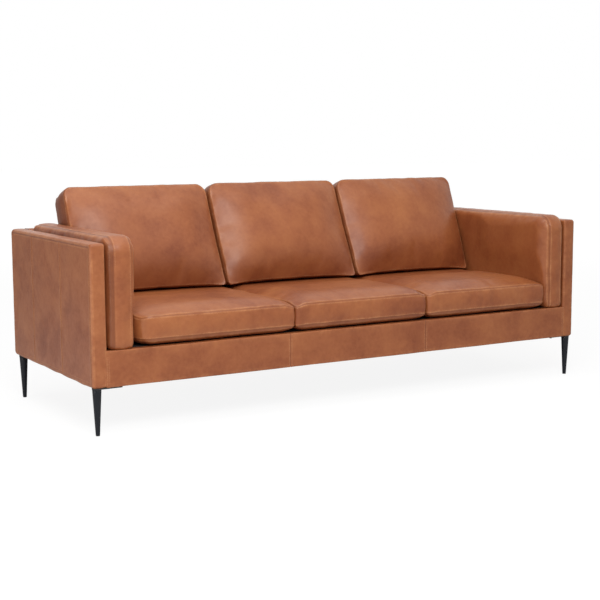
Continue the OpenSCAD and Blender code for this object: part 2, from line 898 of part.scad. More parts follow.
back_fill(0);  // back_fill_middle
back_fill(1);  // back_fill_right
back_cushion_cover(-1);  // back_cushion_cover_left
back_cushion_cover(0);  // back_cushion_cover_middle
back_cushion_cover(1);  // back_cushion_cover_right
back_zip(-1);  // back_zip_left
back_zip(0);  // back_zip_middle
back_zip(1);  // back_zip_right
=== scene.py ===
"""Looks of a three-seat leather sofa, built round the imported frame.

The leather shells, the arm pads and the cushions are modelled here as upholstery: grids whose
lines run along the seams, blown up by cloth simulation, then grooved and stitched. Everything is
in metres, X along the sofa, -Y the front, Z = 0 the floor.
"""

import json
import math

import bpy
import numpy as np
from mathutils import Matrix, Vector
from mathutils.bvhtree import BVHTree

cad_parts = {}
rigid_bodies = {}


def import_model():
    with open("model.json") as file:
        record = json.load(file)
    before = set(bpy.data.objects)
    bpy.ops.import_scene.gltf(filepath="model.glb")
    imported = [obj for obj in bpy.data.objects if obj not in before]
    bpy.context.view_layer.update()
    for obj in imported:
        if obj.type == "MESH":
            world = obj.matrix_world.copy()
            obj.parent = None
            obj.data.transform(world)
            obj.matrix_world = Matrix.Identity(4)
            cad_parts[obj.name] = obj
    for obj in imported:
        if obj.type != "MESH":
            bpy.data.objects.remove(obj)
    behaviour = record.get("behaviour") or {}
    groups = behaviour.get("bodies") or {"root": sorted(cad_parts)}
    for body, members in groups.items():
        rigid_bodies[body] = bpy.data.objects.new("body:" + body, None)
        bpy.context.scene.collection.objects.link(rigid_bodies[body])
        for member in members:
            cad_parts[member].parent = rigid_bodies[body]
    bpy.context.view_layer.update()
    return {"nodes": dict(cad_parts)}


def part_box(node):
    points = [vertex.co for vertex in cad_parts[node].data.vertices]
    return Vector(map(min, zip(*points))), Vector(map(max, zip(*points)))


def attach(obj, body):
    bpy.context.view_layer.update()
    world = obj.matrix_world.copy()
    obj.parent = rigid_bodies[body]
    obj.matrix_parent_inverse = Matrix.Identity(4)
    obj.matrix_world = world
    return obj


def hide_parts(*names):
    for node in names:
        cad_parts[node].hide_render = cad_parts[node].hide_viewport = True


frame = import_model()
nodes = frame["nodes"]
scene = bpy.context.scene
MM = 0.001

# ---- places ----------------------------------------------------------------


def box(node):
    """Lowest and highest corner of a CAD node."""
    low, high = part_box(node)
    return np.array(low), np.array(high)


SIDES = {"left": -1, "right": 1}
ROW = ("left", "middle", "right")
LEAN = math.radians(21.5)  # lean of the inner back from upright
rail_low, rail_high = box("front_rail_cover")
back_low, back_high = box("back_cover")
deck_z = box("deck_cloth")[1][2]
shell_top = box("arm_cover_left")[1][2]
base_z = rail_low[2]
inner_x = rail_high[0]
seat_top = box("seat_cover_left")[1][2]
BACK_HEAD = 64 * MM  # depth of the back unit along its top edge
back_top_y = back_high[1] - BACK_HEAD
EDGE_R = 9 * MM  # radius of the shell edges
SLOPE_GAP = 0.6 * MM  # what leans on the inner back stays this far off it


def slope_y(z):
    """Y of the sloping inner back at height z."""
    return back_top_y - (shell_top - z) * math.tan(LEAN)


# ---- camera and lights -----------------------------------------------------

YAW, PITCH, ROLL = math.radians(31.0045), math.radians(7.5286), math.radians(-0.2008)
CAMERA_AT = (-2.6778, -4.4211, 1.03835)
SENSOR, LENS = 36, 75.56
camera = bpy.data.objects.new("camera", bpy.data.cameras.new("camera"))
scene.collection.objects.link(camera)
camera.data.sensor_width, camera.data.lens = SENSOR, LENS
ahead = Vector((math.sin(YAW) * math.cos(PITCH), math.cos(YAW) * math.cos(PITCH), -math.sin(PITCH)))
across = ahead.cross(Vector((0, 0, 1))).normalized()
upward = across.cross(ahead)
tilted = math.cos(ROLL) * across + math.sin(ROLL) * upward
camera.matrix_world = Matrix.Translation(CAMERA_AT) @ Matrix(
    (tilted, tilted.cross(ahead), -ahead)).transposed().to_4x4()
scene.camera = camera
scene.view_settings.view_transform = "Standard"


def area_light(name, place, target, size, power):
    """A white rectangular light, turned to its target."""
    data = bpy.data.lights.new(name, "AREA")
    data.shape, data.size, data.size_y = "RECTANGLE", size[0], size[1]
    data.energy = power
    lamp = bpy.data.objects.new(name, data)
    scene.collection.objects.link(lamp)
    lamp.location = place
    lamp.rotation_euler = (Vector(target) - Vector(place)).to_track_quat("-Z", "Y").to_euler()


area_light("key", (-1.8, -3.4, 3.2), (-0.3, 0, 0.4), (2.6, 1.6), 118)
area_light("side", (-3.4, -0.9, 0.5), (0, -0.3, 0.5), (2.6, 0.9), 15)
area_light("top", (-0.6, -0.5, 3.3), (-0.1, 0.1, 0.4), (4.2, 2.4), 42)

# ---- node helpers ----------------------------------------------------------

WHITE = (1, 1, 1)


class Nodes:
    """Makes and links the shader nodes of one tree."""

    def __init__(self, tree):
        self.tree = tree

    def put(self, socket, value):
        """Gives an input its number, vector or colour, or links it to the output of a node."""
        if isinstance(value, bpy.types.NodeSocket):
            self.tree.links.new(value, socket)
        else:
            socket.default_value = (*value, 1) if socket.type == "RGBA" else value

    def node(self, kind, output=0, fills=(), **values):
        """An output of a new node. fills: what its inputs get in turn. values: other inputs by
        their names, which start with a capital, and settings by theirs."""
        made = self.tree.nodes.new("ShaderNode" + kind)
        for socket, value in zip(made.inputs, fills):
            self.put(socket, value)
        for key, value in values.items():
            if key[0].isupper():
                self.put(made.inputs[key.replace("_", " ")], value)
            else:
                setattr(made, key, value)
        return made.outputs[output]

    def place(self, scale=(1, 1, 1), offset=(0, 0, 0)):
        """The piece's own coordinates, scaled and moved."""
        return self.node("Mapping", Vector=self.node("TexCoord", "Object"), Scale=scale,
                         Location=offset)

    def noise(self, vector, scale, detail, roughness=0.5, distortion=0.0):
        return self.node("TexNoise", "Fac", Vector=vector, Scale=scale, Detail=detail,
                         Roughness=roughness, Distortion=distortion)

    def cells(self, vector, scale):
        return self.node("TexVoronoi", "Distance", Vector=vector, Scale=scale)

    def ramp(self, value, stops):
        colour = self.node("ValToRGB", "Color", Fac=value)
        elements = colour.node.color_ramp.elements
        while len(elements) < len(stops):
            elements.new(0.5)
        for element, (position, stop) in zip(elements, stops):
            element.position, element.color = position, (*stop, 1)
        return colour

    def fit(self, value, low, high, to_low, to_high):
        """The value's range from low to high, moved onto another one."""
        return self.node("MapRange", "Result", Value=value, From_Min=low, From_Max=high,
                         To_Min=to_low, To_Max=to_high)

    def math(self, operation, first, second):
        return self.node("Math", 0, (first, second), operation=operation)

    def sum(self, *parts):
        """The sum of values, each with its weight."""
        scaled = [self.math("MULTIPLY", value, weight) for value, weight in parts]
        total = scaled[0]
        for part in scaled[1:]:
            total = self.math("ADD", total, part)
        return total

    def mix(self, factor, first, second):
        """Two colours mixed. Of a mix node, inputs 6 and 7 and output 2 are the ones for colour."""
        made = self.node("Mix", 2, (factor,), data_type="RGBA").node
        self.put(made.inputs[6], first)
        self.put(made.inputs[7], second)
        return made.outputs[2]

    def rays(self):
        """Whether a ray is the camera's, perhaps through glass, and whether it is a reflection."""
        camera = self.node("LightPath", "Is Camera Ray")
        path = camera.node.outputs
        return self.math("MAXIMUM", camera, path["Is Transmission Ray"]), path["Is Glossy Ray"]

    def bump(self, height, distance, strength, **below):
        return self.node("Bump", "Normal", Height=height, Distance=distance, Strength=strength,
                         **below)

    def attribute(self, name):
        return self.node("Attribute", "Fac", attribute_name=name)


class Shade(Nodes):
    """A material being built from nodes."""

    def __init__(self, name):
        self.material = bpy.data.materials.new(name)
        self.material.use_nodes = True
        super().__init__(self.material.node_tree)
        self.bsdf = self.tree.nodes["Principled BSDF"]

    def finish(self, colour, roughness, normal=None, **fixed):
        if normal:
            fixed["Normal"] = normal
        for key, value in {"Base_Color": colour, "Roughness": roughness, **fixed}.items():
            self.put(self.bsdf.inputs[key.replace("_", " ")], value)
        return self.material


# ---- backdrop --------------------------------------------------------------

ROOM_LIGHT = 0.30  # strength of the light from all round


def backdrop():
    """A white world for the camera and for reflections, which darken towards the left, and a
    dimmer one for all other light."""
    world = bpy.data.worlds.new("world")
    scene.world = world
    world.use_nodes = True
    s = Nodes(world.node_tree)
    s.tree.nodes.clear()
    seen, glossy = s.rays()
    x = s.node("SeparateXYZ", "X", (s.node("TexCoord", "Generated"),))
    white = s.node("Background", Color=WHITE,
                   Strength=s.math("MAXIMUM", s.fit(x, -0.6, 0.1, 0.15, 1.0), seen))
    lit = s.node("Background", Color=WHITE, Strength=ROOM_LIGHT)
    both = s.node("MixShader", 0, (s.math("MAXIMUM", seen, glossy), lit, white))
    s.put(s.tree.nodes.new("ShaderNodeOutputWorld").inputs["Surface"], both)


def add_floor():
    """A floor that looks almost white and still takes shadows."""
    mesh = bpy.data.meshes.new("floor")
    mesh.from_pydata([(-30, -30, 0), (30, -30, 0), (30, 30, 0), (-30, 30, 0)], [], [(0, 1, 2, 3)])
    made = bpy.data.objects.new("floor", mesh)
    scene.collection.objects.link(made)
    s = Shade("floor")
    mesh.materials.append(s.finish((0.80, 0.80, 0.80), 0.9, Specular_IOR_Level=0.2))
    away = s.node("VectorMath", "Value", (s.place(),), operation="LENGTH")
    glow = s.node("Emission", Color=WHITE, Strength=s.fit(away, 2.0, 7.0, 0.89, 0.96))
    shown = s.node("AddShader", 0, (s.node("BsdfDiffuse", Color=(0.16, 0.16, 0.16)), glow))
    both = s.node("MixShader", 0, (s.rays()[0], s.bsdf.outputs[0], shown))
    s.put(s.tree.nodes["Material Output"].inputs["Surface"], both)
    return made


backdrop()

# ---- materials -------------------------------------------------------------

HIDE_DARK = (0.230, 0.056, 0.017)
HIDE_MID = (0.335, 0.100, 0.032)
HIDE_LIGHT = (0.415, 0.140, 0.045)
HIDE_WORN = (0.600, 0.250, 0.100)
# darkest leather colour: dark seams, and painted shade on faces that lie in shade
HIDE_SEAM_AND_SHADE = (0.120, 0.026, 0.008)


def leather(name, seed):
    """Pull-up leather: cloudy dye, finer marks, worn crowns, darker seams, painted shade on shaded
    faces, pebbled grain.
    """
    s = Shade("leather_" + name)
    here = s.place(offset=(seed * 1.37, seed * -0.83, seed * 0.59))
    clouds = s.noise(here, 3.6, 3, 0.5, 0.5)
    patches = s.noise(here, 13.0, 4, 0.55, 0.5)
    marks = s.noise(here, 70.0, 4, 0.6)
    dye = s.sum((clouds, 0.50), (patches, 0.30), (marks, 0.20))
    colour = s.ramp(dye, ((0.34, HIDE_DARK), (0.5, HIDE_MID), (0.66, HIDE_LIGHT)))
    worn = s.math("MULTIPLY", s.attribute("wear"), s.fit(marks, 0.35, 0.65, 0.35, 0.8))
    colour = s.mix(worn, colour, HIDE_WORN)
    # this colour darkens the seams and paints shade onto shaded faces
    colour = s.mix(s.math("MULTIPLY", s.attribute("crease"), 0.5), colour, HIDE_SEAM_AND_SHADE)
    pebbles = s.sum((s.cells(here, 620.0), 0.7), (s.cells(here, 1500.0), 0.3))
    wrinkle = s.noise(here, 190.0, 4, 0.65, 0.6)
    normal = s.bump(pebbles, 0.25 * MM, 0.3, Normal=s.bump(wrinkle, 0.5 * MM, 0.22))
    gloss = s.fit(s.sum((patches, 0.6), (marks, 0.4)), 0.3, 0.7, 0.48, 0.36)
    return s.finish(colour, gloss, normal, Specular_IOR_Level=0.5, IOR=1.45, Coat_Weight=0.05,
                    Coat_Roughness=0.32)


def lacquer():
    """Black satin lacquer over turned beech: faint grain, soft highlights."""
    s = Shade("black_lacquer")
    streaks = s.noise(s.place((1, 1, 0.06)), 420.0, 4, 0.6)
    haze = s.noise(s.place(), 60.0, 3)
    colour = s.mix(haze, (0.0060, 0.0075, 0.0110), (0.010, 0.012, 0.017))
    return s.finish(colour, s.fit(haze, 0.3, 0.7, 0.28, 0.36), s.bump(streaks, 0.12 * MM, 0.3),
                    Specular_IOR_Level=0.3)


def zinc():
    s = Shade("zinc_plated_steel")
    spangle = s.cells(s.place(), 160.0)
    brush = s.noise(s.place((1, 1, 0.1)), 500.0, 3)
    colour = s.mix(spangle, (0.52, 0.53, 0.55), (0.68, 0.68, 0.66))
    return s.finish(colour, s.fit(brush, 0.3, 0.7, 0.28, 0.45), s.bump(brush, 0.05 * MM, 0.4),
                    Metallic=1.0)


def speckled(name, dark, light, scale, detail, roughness, height, strength):
    """Powder coat, nylon or thread: even, with specks of a fine noise."""
    s = Shade(name)
    specks = s.noise(s.place(), scale, detail)
    return s.finish(s.mix(specks, dark, light), roughness, s.bump(specks, height, strength))


def timber(name, pale, dark, along):
    """Sawn timber with its grain along one axis."""
    s = Shade(name)
    scale = tuple(0.05 if axis == along else 1.0 for axis in range(3))
    grain = s.noise(s.place(scale), 130.0, 5, 0.6, 0.8)
    rings = s.noise(s.place(scale), 26.0, 3, 0.5, 2.0)
    return s.finish(s.mix(s.sum((grain, 0.5), (rings, 0.5)), dark, pale),
                    s.fit(grain, 0.3, 0.7, 0.6, 0.75), s.bump(grain, 0.2 * MM, 0.4))


def woven(name, dark, light, pitch):
    """Plain woven cloth, threads pitch apart."""
    s = Shade(name)
    here = s.place()
    weave = s.math("MULTIPLY", *(
        s.node("TexWave", "Fac", wave_type="BANDS", bands_direction=axis, Vector=here,
               Scale=1 / pitch / 6.28, Distortion=0.4) for axis in "XY"))
    colour = s.mix(s.math("MULTIPLY", weave, s.noise(here, 400.0, 3)), dark, light)
    return s.finish(colour, 0.9, s.bump(weave, 0.3 * MM, 0.6))


def fibrous(name, dark, light, scale, distance):
    """Felt or non-woven cloth: matted fibres."""
    s = Shade(name)
    here = s.place()
    mat = s.noise(here, scale, 6, 0.7, 1.5)
    height = s.sum((mat, 0.6), (s.cells(here, scale * 1.6), 0.4))
    return s.finish(s.mix(mat, dark, light), 0.92, s.bump(height, distance, 0.7))


LACQUER = lacquer()
ZINC = zinc()
THREAD = speckled("thread", (0.50, 0.25, 0.12), (0.66, 0.37, 0.19), 900.0, 2, 0.55, 0.1 * MM, 0.5)
COATED = speckled("black_powder_coat", (0.012, 0.012, 0.014), (0.026, 0.026, 0.028), 900.0, 2, 0.5,
                  0.08 * MM, 0.5)
NYLON = speckled("black_nylon", (0.012, 0.012, 0.012), (0.03, 0.03, 0.03), 240.0, 3, 0.55,
                 0.06 * MM, 0.4)
BEECH_X, BEECH_Y = (timber("beech_along_" + "xy"[i], (0.62, 0.42, 0.24), (0.42, 0.25, 0.12), i)
                    for i in range(2))
PLYWOOD = timber("plywood", (0.68, 0.50, 0.31), (0.50, 0.33, 0.18), 2)
LINING = woven("deck_lining", (0.010, 0.010, 0.011), (0.040, 0.039, 0.040), 1.2 * MM)
DUST = fibrous("dust_cover_fabric", (0.008, 0.008, 0.009), (0.030, 0.030, 0.032), 260.0, 0.2 * MM)
FELT = fibrous("felt", (0.20, 0.20, 0.19), (0.42, 0.41, 0.39), 220.0, 0.6 * MM)
WEBBING = woven("webbing", (0.015, 0.014, 0.013), (0.075, 0.070, 0.062), 2.0 * MM)

CAD_FINISH = {
    ZINC: "leg_bolts springs_left springs_middle springs_right spring_clips frame_bolts",
    COATED: "leg_plates plate_screws", NYLON: "leg_glides", WEBBING: "back_webbing",
    BEECH_X: "front_rail rear_rail corner_blocks spring_batten back_low_rail back_head_rail "
             "back_leg_blocks", BEECH_Y: "side_rails cross_rails",
    PLYWOOD: "arm_board_left arm_board_right back_ribs back_panel",
}
for finish, names in CAD_FINISH.items():
    for node in names.split():
        nodes[node].data.materials.clear()
        nodes[node].data.materials.append(finish)

# ---- meshes ----------------------------------------------------------------


WAVES = 14  # waves that make up a random height


def wave(points, length, seed):
    """A smooth random height at each point, about -1 to 1, with features about length long."""
    rng = np.random.default_rng(seed)
    total = np.zeros(len(points))
    for _ in range(WAVES):
        way = rng.normal(size=3)
        way /= np.linalg.norm(way)
        total += np.sin(points @ way * (2 * math.pi / length) * rng.uniform(0.6, 1.5)
                        + rng.uniform(0, 2 * math.pi))
    return total / math.sqrt(WAVES / 2) / 1.6


def smooth(t):
    """An eased step from 0 to 1."""
    t = np.clip(t, 0, 1)
    return t * t * (3 - 2 * t)


def hump(distance, width):
    """1 at no distance, falling to 0 within about twice the width."""
    return np.exp(-(distance / width) ** 2)


def under(value, cap, soft=2 * MM):
    """The value eased off so that it stays under the cap."""
    return cap - soft * np.logaddexp(0, (cap - value) / soft)


def relief(off):
    """Height, crease mask and worn lip beside a seam, from the distance to it."""
    height = np.where(off < 0.5 * MM, -1.6 * MM, 0) + 0.6 * MM * hump(off - 4 * MM, 2.5 * MM)
    return height, hump(off, 1.6 * MM), hump(off - 4.5 * MM, 3.5 * MM)


HALO = (2, 5, 9, 15)  # distances of the closer grid lines beside a mark, in mm


def lines(low, high, step, marks=(), ends=()):
    """Grid lines from low to high, about step apart, with closer ones beside the marks and at the
    given distances from the two ends."""
    exact = {low, high, *marks}
    places = exact | {mark + side * d * MM for mark in marks for d in HALO for side in (-1, 1)}
    places |= {p for d in ends for p in (low + d, high - d)}
    found = [low]
    for p in sorted(places)[1:]:
        gap = p - found[-1]
        if not low < p <= high:
            continue
        if gap >= 1 * MM:
            pieces = max(1, round(gap / step))
            found += [found[-1] + gap * (i + 1) / pieces for i in range(pieces)]
        elif p in exact and found[-1] not in exact:
            found[-1] = p
    return np.array(found)


class Grid:
    """The skin of a box as a grid of quads. cell holds each vertex's line numbers and flat its
    place on the box."""

    def __init__(self, gx, gy, gz):
        self.shape = len(gx), len(gy), len(gz)
        skin = np.zeros(self.shape, bool)
        skin[[0, -1]] = skin[:, [0, -1]] = skin[:, :, [0, -1]] = True
        self.ids = -np.ones(self.shape, int)
        self.ids[skin] = np.arange(skin.sum())
        self.cell = np.argwhere(skin)
        self.flat = np.stack([g[self.cell[:, a]] for a, g in enumerate((gx, gy, gz))], 1)
        self.half = (self.flat.max(0) - self.flat.min(0)) / 2
        self.middle = (self.flat.max(0) + self.flat.min(0)) / 2
        self.quads = np.vstack([
            self.side(self.ids[:, :, -1], False), self.side(self.ids[:, :, 0], True),
            self.side(self.ids[-1], False), self.side(self.ids[0], True),
            self.side(self.ids[:, -1], True), self.side(self.ids[:, 0], False)])

    @staticmethod
    def side(block, flip):
        """The quads of one side, from its block of vertex numbers."""
        quads = np.stack([block[:-1, :-1], block[1:, :-1], block[1:, 1:], block[:-1, 1:]], -1)
        quads = quads.reshape(-1, 4)
        return quads[:, ::-1] if flip else quads

    def spread(self, values):
        """For each vertex the mean of the values at its neighbours."""
        total, count = np.zeros_like(values), np.zeros((len(values), 1))
        for i in range(4):
            a, b = self.quads[:, i], self.quads[:, i - 1]
            for here, there in ((a, b), (b, a)):
                np.add.at(total, here, values[there])
                np.add.at(count, here, 1)
        return total / count

    def loop(self, level, inset):
        """Vertices round the box at a level of its third axis, inset lines in from the edge."""
        block, a = self.ids[:, :, level], inset
        c, d = self.shape[0] - 1 - inset, self.shape[1] - 1 - inset
        return np.concatenate([block[a:c, a], block[c, a:d], block[c:a:-1, d], block[a, d:a:-1]])


def normals(points, quads):
    """Area-weighted vertex normals."""
    a, b, c, d = (points[quads[:, i]] for i in range(4))
    face = np.cross(c - a, d - b)
    total = np.zeros_like(points)
    for i in range(4):
        np.add.at(total, quads[:, i], face)
    return total / np.maximum(np.linalg.norm(total, axis=1, keepdims=True), 1e-12)


def make_object(name, points, faces, material, **fields):
    """A smooth-shaded mesh object with point attributes."""
    mesh = bpy.data.meshes.new(name)
    mesh.from_pydata([tuple(p) for p in points], [], [tuple(int(i) for i in f) for f in faces])
    mesh.polygons.foreach_set("use_smooth", [True] * len(mesh.polygons))
    for key, values in fields.items():
        layer = mesh.attributes.new(key, "FLOAT", "POINT")
        layer.data.foreach_set("value", np.clip(values, 0, 1).astype(np.float32))
    mesh.materials.append(material)
    made = bpy.data.objects.new(name, mesh)
    scene.collection.objects.link(made)
    return made


def subdivide(obj):
    """Subdivides an object once, with the result applied."""
    obj.modifiers.new("subdivision", "SUBSURF").levels = 1
    graph = bpy.context.evaluated_depsgraph_get()
    mesh = bpy.data.meshes.new_from_object(obj.evaluated_get(graph), depsgraph=graph)
    obj.modifiers.clear()
    rough, obj.data = obj.data, mesh
    bpy.data.meshes.remove(rough)
    mesh.name = obj.name


def add_piece(obj, body, slot, *replaced):
    """Puts an object on its body, in place of the CAD nodes that it replaces. slot is not used."""
    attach(obj, body)
    if replaced:
        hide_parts(*replaced)


def surface_of(obj):
    """A search tree of an object's surface."""
    mesh = obj.data
    return BVHTree.FromPolygons([v.co for v in mesh.vertices],
                                [tuple(p.vertices) for p in mesh.polygons])


STITCH_PITCH, STITCH_L, STITCH_W = 5.4 * MM, 4.1 * MM, 1.4 * MM
ROUND, SUNK = 0.4, 0.4  # a stitch's rise, in widths, and how far its tips sink, in rises
SEAM_ROWS = (-5 * MM, 5 * MM)  # the two rows of stitches beside a seam
ROW_STEP = 20 * MM  # points of a straight row
thread_mesh = {}


def sew(body, surface, path, closed=False, plain=None):
    """Lays a row of stitches along a path on a surface, for the body's thread. plain tells where
    there are none."""
    path = np.asarray(path)
    if closed:
        path = np.vstack([path, path[:1]])
    run = np.concatenate([[0], np.cumsum(np.linalg.norm(np.diff(path, axis=0), axis=1))])
    pts, faces = thread_mesh.setdefault(body, ([], []))
    count = int(run[-1] / STITCH_PITCH)
    for i in range(count):
        middle = (i + 0.5) * run[-1] / count
        ends = [Vector([np.interp(middle + d, run, path[:, a]) for a in range(3)])
                for d in (-STITCH_L / 2, STITCH_L / 2)]
        hit, up, _, _ = surface.find_nearest((ends[0] + ends[1]) / 2)
        if plain and plain(hit):
            continue
        way = (ends[1] - ends[0]).normalized()
        side, lift = up.cross(way).normalized() * (STITCH_W / 2), up * (STITCH_W * ROUND)
        tip, sunk = way * (STITCH_L / 2), lift * SUNK
        a = len(pts)
        pts += [hit - tip - sunk, hit + tip - sunk, hit + side, hit - side, hit + lift, hit - lift]
        faces += [(a, a + 2, a + 4), (a, a + 4, a + 3), (a, a + 3, a + 5), (a, a + 5, a + 2),
                  (a + 1, a + 4, a + 2), (a + 1, a + 3, a + 4), (a + 1, a + 5, a + 3),
                  (a + 1, a + 2, a + 5)]


def sew_straight(surface, spot, axis, start, stop):
    """Sews the frame's leather along an axis, in a straight row through a spot."""
    along = np.arange(start, stop, ROW_STEP)
    path = np.tile(np.array(spot, float), (len(along), 1))
    path[:, axis] = along
    sew("frame", surface, path)


# ---- boxed forms -----------------------------------------------------------

SIM_FRAMES = 20
CLOTH_SHRINK = -0.012  # below 0, the cloth grows


class Boxed:
    """A boxed cushion or shell. In its own frame two panels lie across Z, joined by a wall.

    cover, core: CAD nodes that it replaces. half: half its width and height. seams: the Z of the
    wall's two edges. faces: the lowest and highest Z. corners: radii seen along Z, in mm, [left or
    right][low or high]. place: own points to world ones. roll: how far in each panel rolls over,
    in mm, from the sides, the lower and the upper edge. dome: share of a panel's rise that goes on
    to the middle. flat: how straight a roll starts. belly: how far the wall stands out, in mm.
    slump: extra share of the rise, low down. step: spacing of the grid lines. marks: places across
    X and Y with closer ones. rings: lines near an edge, in mm.
    """

    def __init__(self, name, body, cover, core, seed, half, seams, faces, corners, place, roll,
                 dome, flat=(0, 0), belly=2.5, slump=0, step=10 * MM, marks=((), ()),
                 rings=(0, 2, 5, 9, 15, 23, 33, 46, 62)):
        self.name, self.body, self.seed, self.replaced = name, body, seed, (cover, core)
        self.half, self.corners = np.array(half), np.array(corners) * MM
        rim = [d * MM for d in rings]
        self.grid = g = Grid(*(lines(-h, h, step, m, rim) for h, m in zip(half, marks)),
                             lines(*seams, step, ends=rim))
        x, y, z = g.flat.T
        self.depth = np.minimum(half[0] - np.abs(x), half[1] - np.abs(y))
        spot, way = self.outline(x, y)
        self.high, self.low = (g.cell[:, 2] == g.shape[2] - 1), g.cell[:, 2] == 0
        self.wall = ~(self.high | self.low)
        height = z.copy()
        middle = (1 - (x / half[0]) ** 2) * (1 - (y / half[1]) ** 2)
        for i, part in enumerate((self.low, self.high)):
            side, foot, head = (w * MM for w in roll[i])
            rise = 1 - dome[i] + dome[i] * middle
            rise = rise * (1 + slump * hump(y / half[1] + 0.4, 0.45))
            for away in ((half[0] - np.abs(x)) / side, (half[1] + y) / foot, (half[1] - y) / head):
                t = np.clip(away, 0, 1)
                rise = rise * ((1 - flat[i]) * np.sqrt(1 - (1 - t) ** 2)
                               + flat[i] * np.sin(math.pi / 2 * t))
            height[part] += ((faces[i] - seams[i]) * rise)[part]
        share = (z - seams[0]) / (seams[1] - seams[0])
        out = np.where(self.wall, np.sin(math.pi * share), 0) * belly * MM
        spot = spot + way * (out * (self.depth < 1e-6))[:, None]
        self.rim = (self.depth < 1e-6) & ~self.wall
        to_seam = np.minimum(z - seams[0], seams[1] - z)
        self.off = np.where(self.wall, to_seam, self.depth)
        self.points = place(np.stack([spot[:, 0], spot[:, 1], height], 1))

    def outline(self, x, y):
        """Points of the rectangle's rings moved onto rings with round corners, and which way is
        outwards there."""
        radius = self.corners[(x > 0).astype(int), (y > 0).astype(int)]
        r = np.maximum(radius - self.depth, 0)
        inner = self.half - (self.depth + r)[:, None]
        p = np.stack([x, y], 1)
        q = np.clip(p, -inner, inner)
        size = np.linalg.norm(p - q, axis=1, keepdims=True)
        way = (p - q) / np.maximum(size, 1e-9)
        return q + way * np.minimum(r[:, None], size * 10), way

    def start_cloth(self, pressure, held):
        """Adds the cloth that blows the form up. held marks the points that stay."""
        self.held = held
        self.cloth = make_object("cloth", self.points, self.grid.quads, THREAD)
        group = self.cloth.vertex_groups.new(name="pin")
        beside = ~held & (self.off < 4 * MM)
        for chosen, weight in ((held, 1.0), (beside, 0.6)):
            group.add([int(i) for i in np.flatnonzero(chosen)], weight, "REPLACE")
        cloth = self.cloth.modifiers.new("cloth", "CLOTH")
        s = cloth.settings
        s.quality, s.mass, s.air_damping = 4, 0.3, 1.0
        s.tension_stiffness = s.compression_stiffness = 12
        s.shear_stiffness, s.bending_stiffness = 6, 0.6
        s.use_pressure, s.uniform_pressure_force = True, pressure
        s.vertex_group_mass, s.pin_stiffness = "pin", 1.0
        s.shrink_min = CLOTH_SHRINK
        s.effector_weights.gravity = 0
        cloth.collision_settings.use_collision = False
        cloth.collision_settings.use_self_collision = False
        cloth.point_cache.frame_start, cloth.point_cache.frame_end = 1, SIM_FRAMES

    def take_cloth(self, cap):
        """Takes the simulated shape, evened out, with no point moved beyond the cap."""
        graph = bpy.context.evaluated_depsgraph_get()
        mesh = self.cloth.evaluated_get(graph).to_mesh()
        moved = np.zeros(len(mesh.vertices) * 3)
        mesh.vertices.foreach_get("co", moved)
        shift = moved.reshape(-1, 3) - self.points
        for _ in range(3):
            evened = (shift + self.grid.spread(shift)) / 2
            shift = np.where(self.held[:, None], shift, evened)
        size = np.linalg.norm(shift, axis=1, keepdims=True)
        self.points = self.points + shift * (cap * np.tanh(size / cap) / np.maximum(size, 1e-9))
        bpy.data.objects.remove(self.cloth)

    def finish(self, hide, seed, keep, soft=1.6, pucker=1.0, wear=None, fade=1.0, dark=0.0):
        """Puckers the form beside its seams, sinks the seams and makes the piece, of leather with
        its own name and seed. keep holds its points in their place. soft and pucker: height of
        the waves over all and beside the seams, in mm. wear: mask of the worn leather. fade: how
        deep
        the seams are. dark: mask of painted shade, the leather darkened where it lies in shade."""
        g, off = self.grid, self.off
        p = self.points
        shift = soft * wave(p, 330 * MM, self.seed) * smooth(off / (60 * MM))
        shift += pucker * (0.9 * wave(p, 34 * MM, self.seed + 1) * np.exp(-off / (16 * MM))
                           * smooth(off / (5 * MM))
                           + 0.7 * wave(p, 90 * MM, self.seed + 2) * np.exp(-off / (45 * MM)))
        height, crease, lip = (part * fade for part in relief(off))
        p = p + normals(p, g.quads) * (shift * MM + height)[:, None]
        self.points = p = keep(p, *box(self.replaced[0]))
        worn = 0.85 * lip if wear is None else np.maximum(0.4 * lip, wear)
        worn = worn * (0.6 + 0.4 * wave(p, 60 * MM, self.seed + 3))
        # the seam darkening and the painted shade of dark go into one attribute
        self.object = make_object(self.name, p, g.quads, leather(hide, seed), wear=worn,
                                  crease=np.maximum(crease, dark))
        subdivide(self.object)
        self.surface = surface_of(self.object)
        add_piece(self.object, self.body, "leather", *self.replaced)

    def sew_rings(self, *rings, plain=None):
        """Sews round the form. A ring is a level of the wall and how many lines it lies inside."""
        for level, inset in rings:
            sew(self.body, self.surface, self.points[self.grid.loop(level, inset)], True, plain)


RINGS = ((-1, 2), (-3, 0), (0, 2), (2, 0))  # both sides of both seams
forms = {}

# ---- cushions --------------------------------------------------------------

ZIP_ROOM = 1.8 * MM  # the rear wall of a seat cushion stays this far in for its zip
SINK = 7 * MM  # how deep the back cushions sink into the seat
FOOT_SEAM = (7 * MM, -9 * MM)  # front seam of a back cushion above the seat: middle and corners
# of the cushions, from left to right
FOOT_SHADE = (0.75, 0.5, 0.25)  # painted shade: how dark a back cushion is painted at its foot, over the seat
EARS = ((0.08, 0.19), (0.19, 0.19), (0.19, 0.05))  # how much deeper it is at the foot's corners
HEAD_RISE = (0, 1 * MM, 2.5 * MM)
SEAT_IN = ((23, 2.5), (2.5, 2.5), (2.5, 2.5))  # a seat's side seams, in from its place, in mm
# corner radii in mm: left low, left high, right low and right high, a seat's front being its low
SEAT_CORNERS = (60, 20, 13, 20), (12, 20, 20, 20), (15, 20, 22, 20)
BACK_CORNERS = (15, 30, 14, 42), (13, 38, 15, 36), (13, 40, 15, 34)

WALL_LOW, WALL_HIGH = 26 * MM, 106 * MM  # the wall of a seat cushion, over its underside
CORNER_DROP = 9 * MM  # how far the front corners of a seat cushion hang
BACK_SEAMS_AT = (42 * MM, 142 * MM)  # the seams of a back cushion, off the inner back
BACK_THICK = 189 * MM


